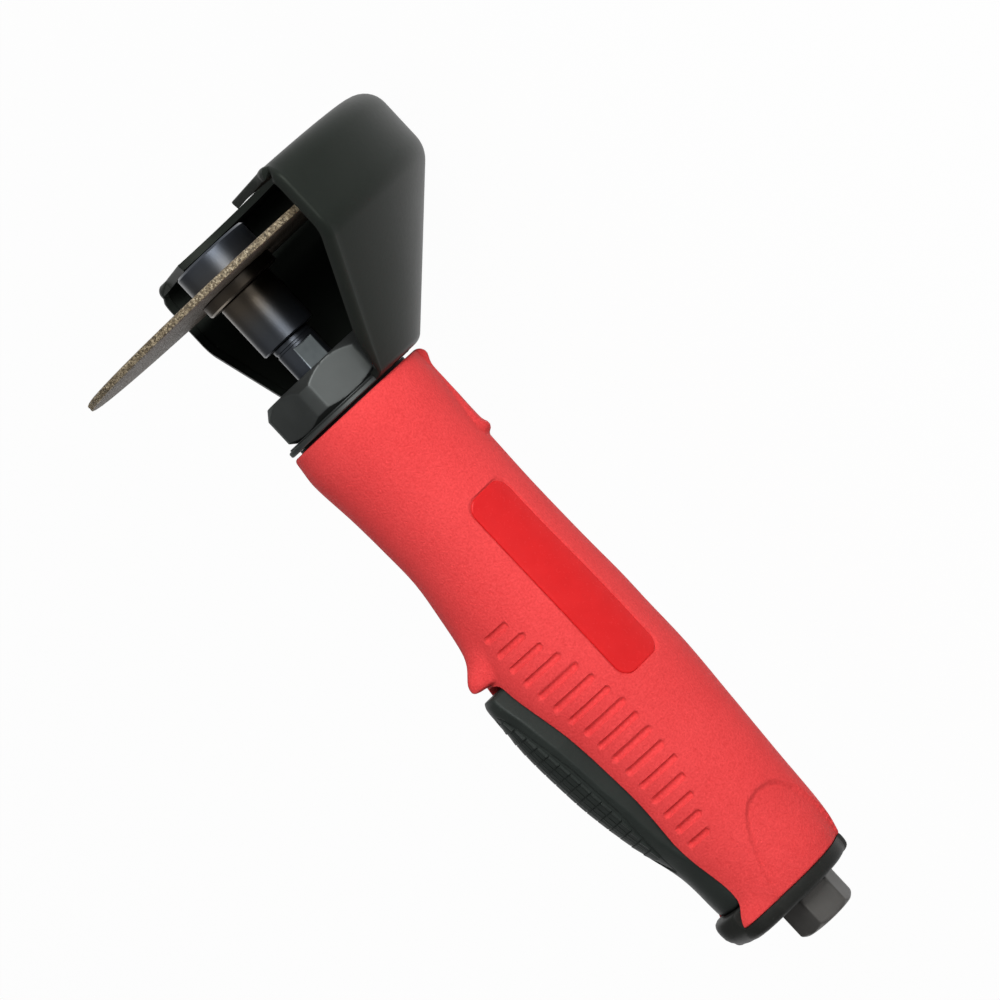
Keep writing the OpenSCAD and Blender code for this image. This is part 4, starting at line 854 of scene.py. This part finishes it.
# Lock washer: a thin ring stamped from black steel sheet, pinched between the nut and the guard's ring.
# One tab stands out of its rim.
washer_rear, washer_front, washer_bore, washer_r, washer_edge = 185.07, 185.45, 16.85, 18.5, 0.1
tab_deg, tab_half_deg, tab_ease_deg, tab_rise = 84, 9, 2.5, 1.6
washer_deg = np.linspace(0, 360, 181)[:-1]
from_tab = np.abs((washer_deg - tab_deg + 180) % 360 - 180)
washer_rim = washer_r + tab_rise * eased((tab_half_deg - from_tab) / tab_ease_deg)
washer_outline = [(washer_rear, washer_bore), (washer_rear, washer_rim),
                  (washer_rear + washer_edge, washer_rim + washer_edge),
                  (washer_front - washer_edge, washer_rim + washer_edge),
                  (washer_front, washer_rim), (washer_front, washer_bore)]
washer = lathe("lock_washer_ring", washer_outline, washer_deg, [black_oxide], 30)
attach(washer, "handle")
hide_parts("lock_washer")

# Wheel guard: a half cup pressed from 2 mm steel sheet and powder-coated in satin black, on a flat blackened
# ring that the nut clamps to the front of the grip. It has a flat base, a cone, a band over the wheel's rim
# and a windowed front plate, and its edge along the opening is turned in.
guard_corners = np.array([[20.6, 183.6], [24.6, 183.6], [60, 219.4], [60, 242], [29, 242]])
guard_bends = [0, 4.5, 9, 7, 0]
guard_wall = 2.0
bend_points, straight_points = 10, 7


def bent_line(corners, bends):
    """Polyline through corners, each rounded with its bend radius, with points along the straights too."""
    points = [corners[0]]
    for i, corner in enumerate(corners[1:], 1):
        target = [corner]
        if bends[i]:
            back, ahead = [(corners[j] - corner) / math.dist(corners[j], corner) for j in (i - 1, i + 1)]
            half_angle = math.acos(back @ ahead) / 2
            inside = (back + ahead) / np.linalg.norm(back + ahead)
            middle = corner + inside * bends[i] / math.sin(half_angle)
            start, stop = [corner + way * bends[i] / math.tan(half_angle) - middle for way in (back, ahead)]
            sense = np.sign(start[0] * stop[1] - start[1] * stop[0])
            turns = sense * (math.pi - 2 * half_angle) * np.linspace(0, 1, bend_points)
            square = np.array([-start[1], start[0]])
            target = [middle + start * math.cos(t) + square * math.sin(t) for t in turns]
        last = points[-1]
        points.extend(last + (target[0] - last) * k for k in np.linspace(0, 1, straight_points)[1:-1])
        points.extend(target)
    return np.array(points)


guard_line = bent_line(guard_corners, guard_bends)
run = np.gradient(guard_line, axis=0)
run /= np.linalg.norm(run, axis=1, keepdims=True)
inward = np.column_stack([-run[:, 1], run[:, 0]])

# Width of the turned edge: wide along the cone and the band, narrow at the base and on the front plate.
narrow_hem, wide_hem = 0.6, 2.6
hem_x, hem_w = [184, 192, 238.6, 241.6], [narrow_hem, wide_hem, wide_hem, narrow_hem]
plate_bend_x, plate_x, plate_r = 241.1, 241.9, 52
line_r, line_x = guard_line.T
hem = np.interp(line_x - 0.25 * (line_r - 20) * (line_x > plate_bend_x), hem_x, hem_w)
hem = np.where((line_x > plate_x) & (line_r < plate_r), narrow_hem, hem)
near_open_deg, far_open_deg = 7.6, 3.1


def guard_ring(deg, outer_in, inner_in, outer_up, inner_up):
    """One section of the guard at an angle, its two faces moved inwards and upwards."""
    a = math.radians(deg)
    rows = []
    for line_in, line_up, order in ((outer_in, outer_up, 1), (inner_in, inner_up, -1)):
        line = guard_line + inward * np.broadcast_to(line_in, len(guard_line))[:, None]
        ring = np.column_stack([line[:, 1], line[:, 0] * math.cos(a), line[:, 0] * math.sin(a) + line_up])
        rows.append(ring[::order])
    return np.concatenate(rows)


# Turned edge: the sheet swells out a little along the opening and rolls in.
hem_swell, inner_hem = 0.22, 0.4
guard_from, guard_to = 180 + near_open_deg, 360 - far_open_deg
turned_edge = []
for t in np.radians([90, 78, 66, 54, 42, 30, 18, 8]):
    roll = 1 - math.cos(t)
    turned_edge.append((hem * roll - hem_swell * hem * math.sin(2 * t), guard_wall + inner_hem * roll,
                        hem * math.sin(t), inner_hem * math.sin(t)))
guard_rings = [guard_ring(guard_from, *moves) for moves in turned_edge]
guard_rings += [guard_ring(deg, 0, guard_wall, 0, 0) for deg in np.linspace(guard_from, guard_to, 121)]
guard_rings += [guard_ring(guard_to, *moves) for moves in turned_edge[::-1]]

powder_coat = moulding(
    "powder_coat", (0.0095, 0.0115, 0.01, 1), (0.016, 0.019, 0.0165, 1), grain=(900, 0, 0.06),
    wear=(40, 1, 0.14), rough=0.43, gloss=0.24, tint=(0.36, 0.4, 0.34, 1), bump=(0.18, 0.08 * MM),
    wear_detail=5)
guard_cup = sheet("guard_cup", guard_rings, [powder_coat], 28)
collar_deg = np.linspace(0, 360, 121)[:-1]
collar_rear, collar_front, collar_bore = 183.47, 185.05, 17.15
collar_outline = [(collar_rear, collar_bore), (collar_rear, 20.4), (183.57, 20.7), (183.82, 20.9),
                  (184.7, 20.9), (184.95, 20.7), (collar_front, 20.4), (collar_front, collar_bore)]
guard_collar = lathe("guard_collar", collar_outline, collar_deg, [black_oxide], 30)
for piece in (guard_cup, guard_collar):
    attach(piece, "guard")
    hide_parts("wheel_guard")

# Spindle nose: a hardened steel shaft with two wrench flats, and a turned sleeve that carries the flanges.
# They are burnished dark, with turning marks and straw and blue tints from heat.
turned_deg = np.linspace(0, 360, 145)[:-1]
burnished_steel, tree = new_material("burnished_steel")
_, along, *_ = own_place(tree)
hot_x, hot_reach = 224.0 * MM, 13.0 * MM
heat = tree.math("MAXIMUM", 1 - tree.math("ABSOLUTE", along - hot_x) / hot_reach, 0)
tint = blotches(tree, 40, detail=2) * 0.4 + heat * 0.42 + 0.12
marks = ring_marks(tree, 1800)
shade = tree.node("ValToRGB", {"Fac": tint}, stops=[
    (0.3, (0.062, 0.07, 0.084, 1)), (0.48, (0.08, 0.082, 0.085, 1)), (0.66, (0.11, 0.092, 0.072, 1))])
finish(tree, {"Base Color": shade, "Metallic": 0.9, "Roughness": 0.33 + (marks - 0.5) * 0.08},
       marks, 0.05, 0.02 * MM)

shaft_rear, shaft_front, shaft_r, stub_r, rotor_r = 110.4, 230, 5.95, 3.45, 5.0
flat_half, flat_from, flat_to, flat_step = 5, 196.7, 204.22, 0.02
arbor_r, shoulder, screw_hole_r, screw_hole_rear, centre_r = 4.74, 207.2, 3.05, 212, 0.02
flat_r = np.minimum(shaft_r, flat_half / np.maximum(1e-6, np.abs(np.cos(np.radians(turned_deg)))))
shaft_outline = [
    (shaft_rear, stub_r), (118.4, rotor_r), (138.2, rotor_r), (158, rotor_r), (158.5, shaft_r),
    (190, shaft_r), (196.6, shaft_r), (flat_from, shaft_r), (flat_from + flat_step, flat_r),
    (flat_to - flat_step, flat_r), (flat_to, shaft_r), (204.9, shaft_r), (205.1, 5.75), (205.6, 5.75),
    (205.8, shaft_r), (206.9, shaft_r), (shoulder, 5.7), (shoulder, arbor_r), (229.6, arbor_r),
    (shaft_front, 4.4), (shaft_front, screw_hole_r), (screw_hole_rear, screw_hole_r),
    (screw_hole_rear, centre_r), (shaft_rear, centre_r)]
milled_steel = metal("milled_steel", (0.1, 0.115, 0.12, 1), (0.17, 0.19, 0.195, 1), 0.55, 0.2, 400, 0.1)
shaft = lathe("spindle_shaft", shaft_outline, turned_deg, [burnished_steel, milled_steel], 30)
for face in shaft.data.polygons:
    on_flat = flat_from * MM < face.center.x < flat_to * MM and abs(face.normal.y) > 0.999
    face.material_index = 1 if on_flat else 0
arbor_bore = 4.8
sleeve_outline = [(207.25, arbor_bore), (207.25, 8), (207.65, 8.4), (223.9, 8.4), (224.3, 8),
                  (224.3, arbor_bore)]
sleeve = lathe("arbor_sleeve", sleeve_outline, turned_deg, [burnished_steel], 30)
for piece, node_name in ((shaft, "spindle"), (sleeve, "arbor_spacer")):
    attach(piece, "rotating_group")
    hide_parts(node_name)

# Flanges and wheel screw: two turned discs of burnished steel pinch the wheel, drawn together by a blackened
# socket screw from the front. Its head sits in the outer flange's counterbore.
flange_r, wheel_rear, wheel_front, head_seat = 11.5, 227.9, 230, 232.9
inner_outline = [(224.35, arbor_bore), (224.35, 11), (224.85, flange_r), (227.6, flange_r),
                 (wheel_rear, 11.2), (wheel_rear, arbor_bore)]
inner_disc = lathe("inner_flange_disc", inner_outline, turned_deg, [burnished_steel], 30)
outer_outline = [(wheel_front, 3.4), (wheel_front, 11.2), (230.3, flange_r), (237.4, flange_r), (238, 10.9),
                 (238, 5.9), (237.6, 5.4), (head_seat, 5.4), (head_seat, 3.4)]
outer_disc = lathe("outer_flange_disc", outer_outline, turned_deg, [burnished_steel], 30)
socket_deg = np.concatenate([60 * k + np.linspace(0, 60, 9)[:-1] for k in range(6)])
socket_af, screw_r, head_r = 5, 3, 5.0
socket_hex = hex_r(socket_deg, socket_af, 0)
screw_outline = [(217.2, centre_r), (217.2, 2.6), (217.6, screw_r), (head_seat, screw_r), (head_seat, head_r),
                 (237.1, head_r), (237.5, 4.6), (237.5, 3.25), (237.2, socket_hex), (235.2, socket_hex),
                 (234.8, centre_r)]
screw = lathe("wheel_screw_socket", screw_outline, socket_deg, [black_oxide], 30)
for piece, node_name in ((inner_disc, "inner_flange"), (outer_disc, "outer_flange"), (screw, "wheel_screw")):
    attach(piece, "rotating_group")
    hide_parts(node_name)

# Cut-off wheel: abrasive grain pressed in resin between two layers of open glass cloth.
# The faces show the cloth and a brown resin, and the rim is worn and shows the bare grain.
wheel_r, rim_loss = 50.8, 0.25
wheel_deg = np.linspace(0, 360, 361)[:-1]
wave_7, wave_23, wave_61 = [np.sin(np.radians(wheel_deg * turns)) for turns in (7, 23, 61)]
rim = wheel_r - rim_loss + (0.10 * wave_23 * wave_7 + 0.06 * wave_61)
wheel_half = [(0, arbor_bore), (0, 20), (0, 36), (0, rim - 0.5), (0.22, rim - 0.1), (0.55, rim)]
wheel_outline = [(wheel_rear + step, r) for step, r in wheel_half]
wheel_outline += [(wheel_front - step, r) for step, r in wheel_half[::-1]]

abrasive, tree = new_material("abrasive")
place, _, y, z, reach = own_place(tree)
at_rim = tree.node("MapRange", {"Value": reach, "From Min": 50.0 * MM, "From Max": 50.4 * MM})
weave_pitch = 2.4 * MM
warp, weft = [tree.math("ABSOLUTE", tree.math("FRACT", way / weave_pitch) - 0.5) * 2
              for way in (y + z, y - z)]
cloth = tree.math("MAXIMUM", warp, weft)
thread = tree.node("MapRange", {"Value": cloth, "From Min": 0.62, "From Max": 0.88})
cell, grit_lump = [tree.node("TexVoronoi", {"Vector": place, "Scale": 2300.0}, kind)
                   for kind in ("Color", "Distance")]
grit = tree.node("SeparateColor", {0: cell}, out=0)
face_tone = mixed(tree, thread, (0.028, 0.02, 0.014, 1), (0.115, 0.088, 0.063, 1))
face_grit = mixed(tree, grit * 0.35, face_tone, (0.13, 0.1, 0.07, 1))
rim_tone = tree.node("ValToRGB", {"Fac": grit}, stops=[
    (0, (0.05, 0.038, 0.022, 1)), (0.5, (0.15, 0.114, 0.066, 1)), (1, (0.36, 0.3, 0.2, 1))])
relief = thread * 0.6 * (1 - at_rim) + (1 - grit_lump) * 0.5
finish(tree, {"Base Color": mixed(tree, at_rim, face_grit, rim_tone), "Roughness": 0.72 - grit * 0.3,
              "Specular IOR Level": 0.45}, relief, 0.8, 0.35 * MM)
wheel = lathe("abrasive_disc", wheel_outline, wheel_deg, [abrasive], 40)

band_inset, band_rise = 0.25, 0.02
band_points = [round_points(x, rim + band_rise, wheel_deg)
               for x in (wheel_rear + band_inset, wheel_front - band_inset)]
grains = new_piece("rim_grains", np.concatenate(band_points), wrapped_rows(2, len(wheel_deg)), [abrasive])
grain_sizes = {"Grain radius": 0.20 * MM, "Grains per square metre": 2.6e6}
tree, size = geometry_tree("bonded_grains", grain_sizes)
spots = tree.node("GeometryNodeDistributePointsOnFaces", {
    "Mesh": size["Geometry"], "Density": size["Grains per square metre"], "Seed": 11})
lump = tree.node("GeometryNodeMeshIcoSphere", {"Radius": size["Grain radius"], "Subdivisions": 1})
swell, roll = [tree.node("FunctionNodeRandomValue", {0: (least,) * 3, 1: (most,) * 3, "Seed": seed},
                         data_type="FLOAT_VECTOR")
               for least, most, seed in ((0.5, 1.35, 5), (0, math.tau, 8))]
strewn = tree.node("GeometryNodeInstanceOnPoints", {
    "Points": spots, "Instance": lump, "Rotation": roll, "Scale": swell})
grow(grains, tree, strewn, abrasive, grain_sizes)
for piece in (wheel, grains):
    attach(piece, "rotating_group")
    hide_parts("cutoff_wheel")
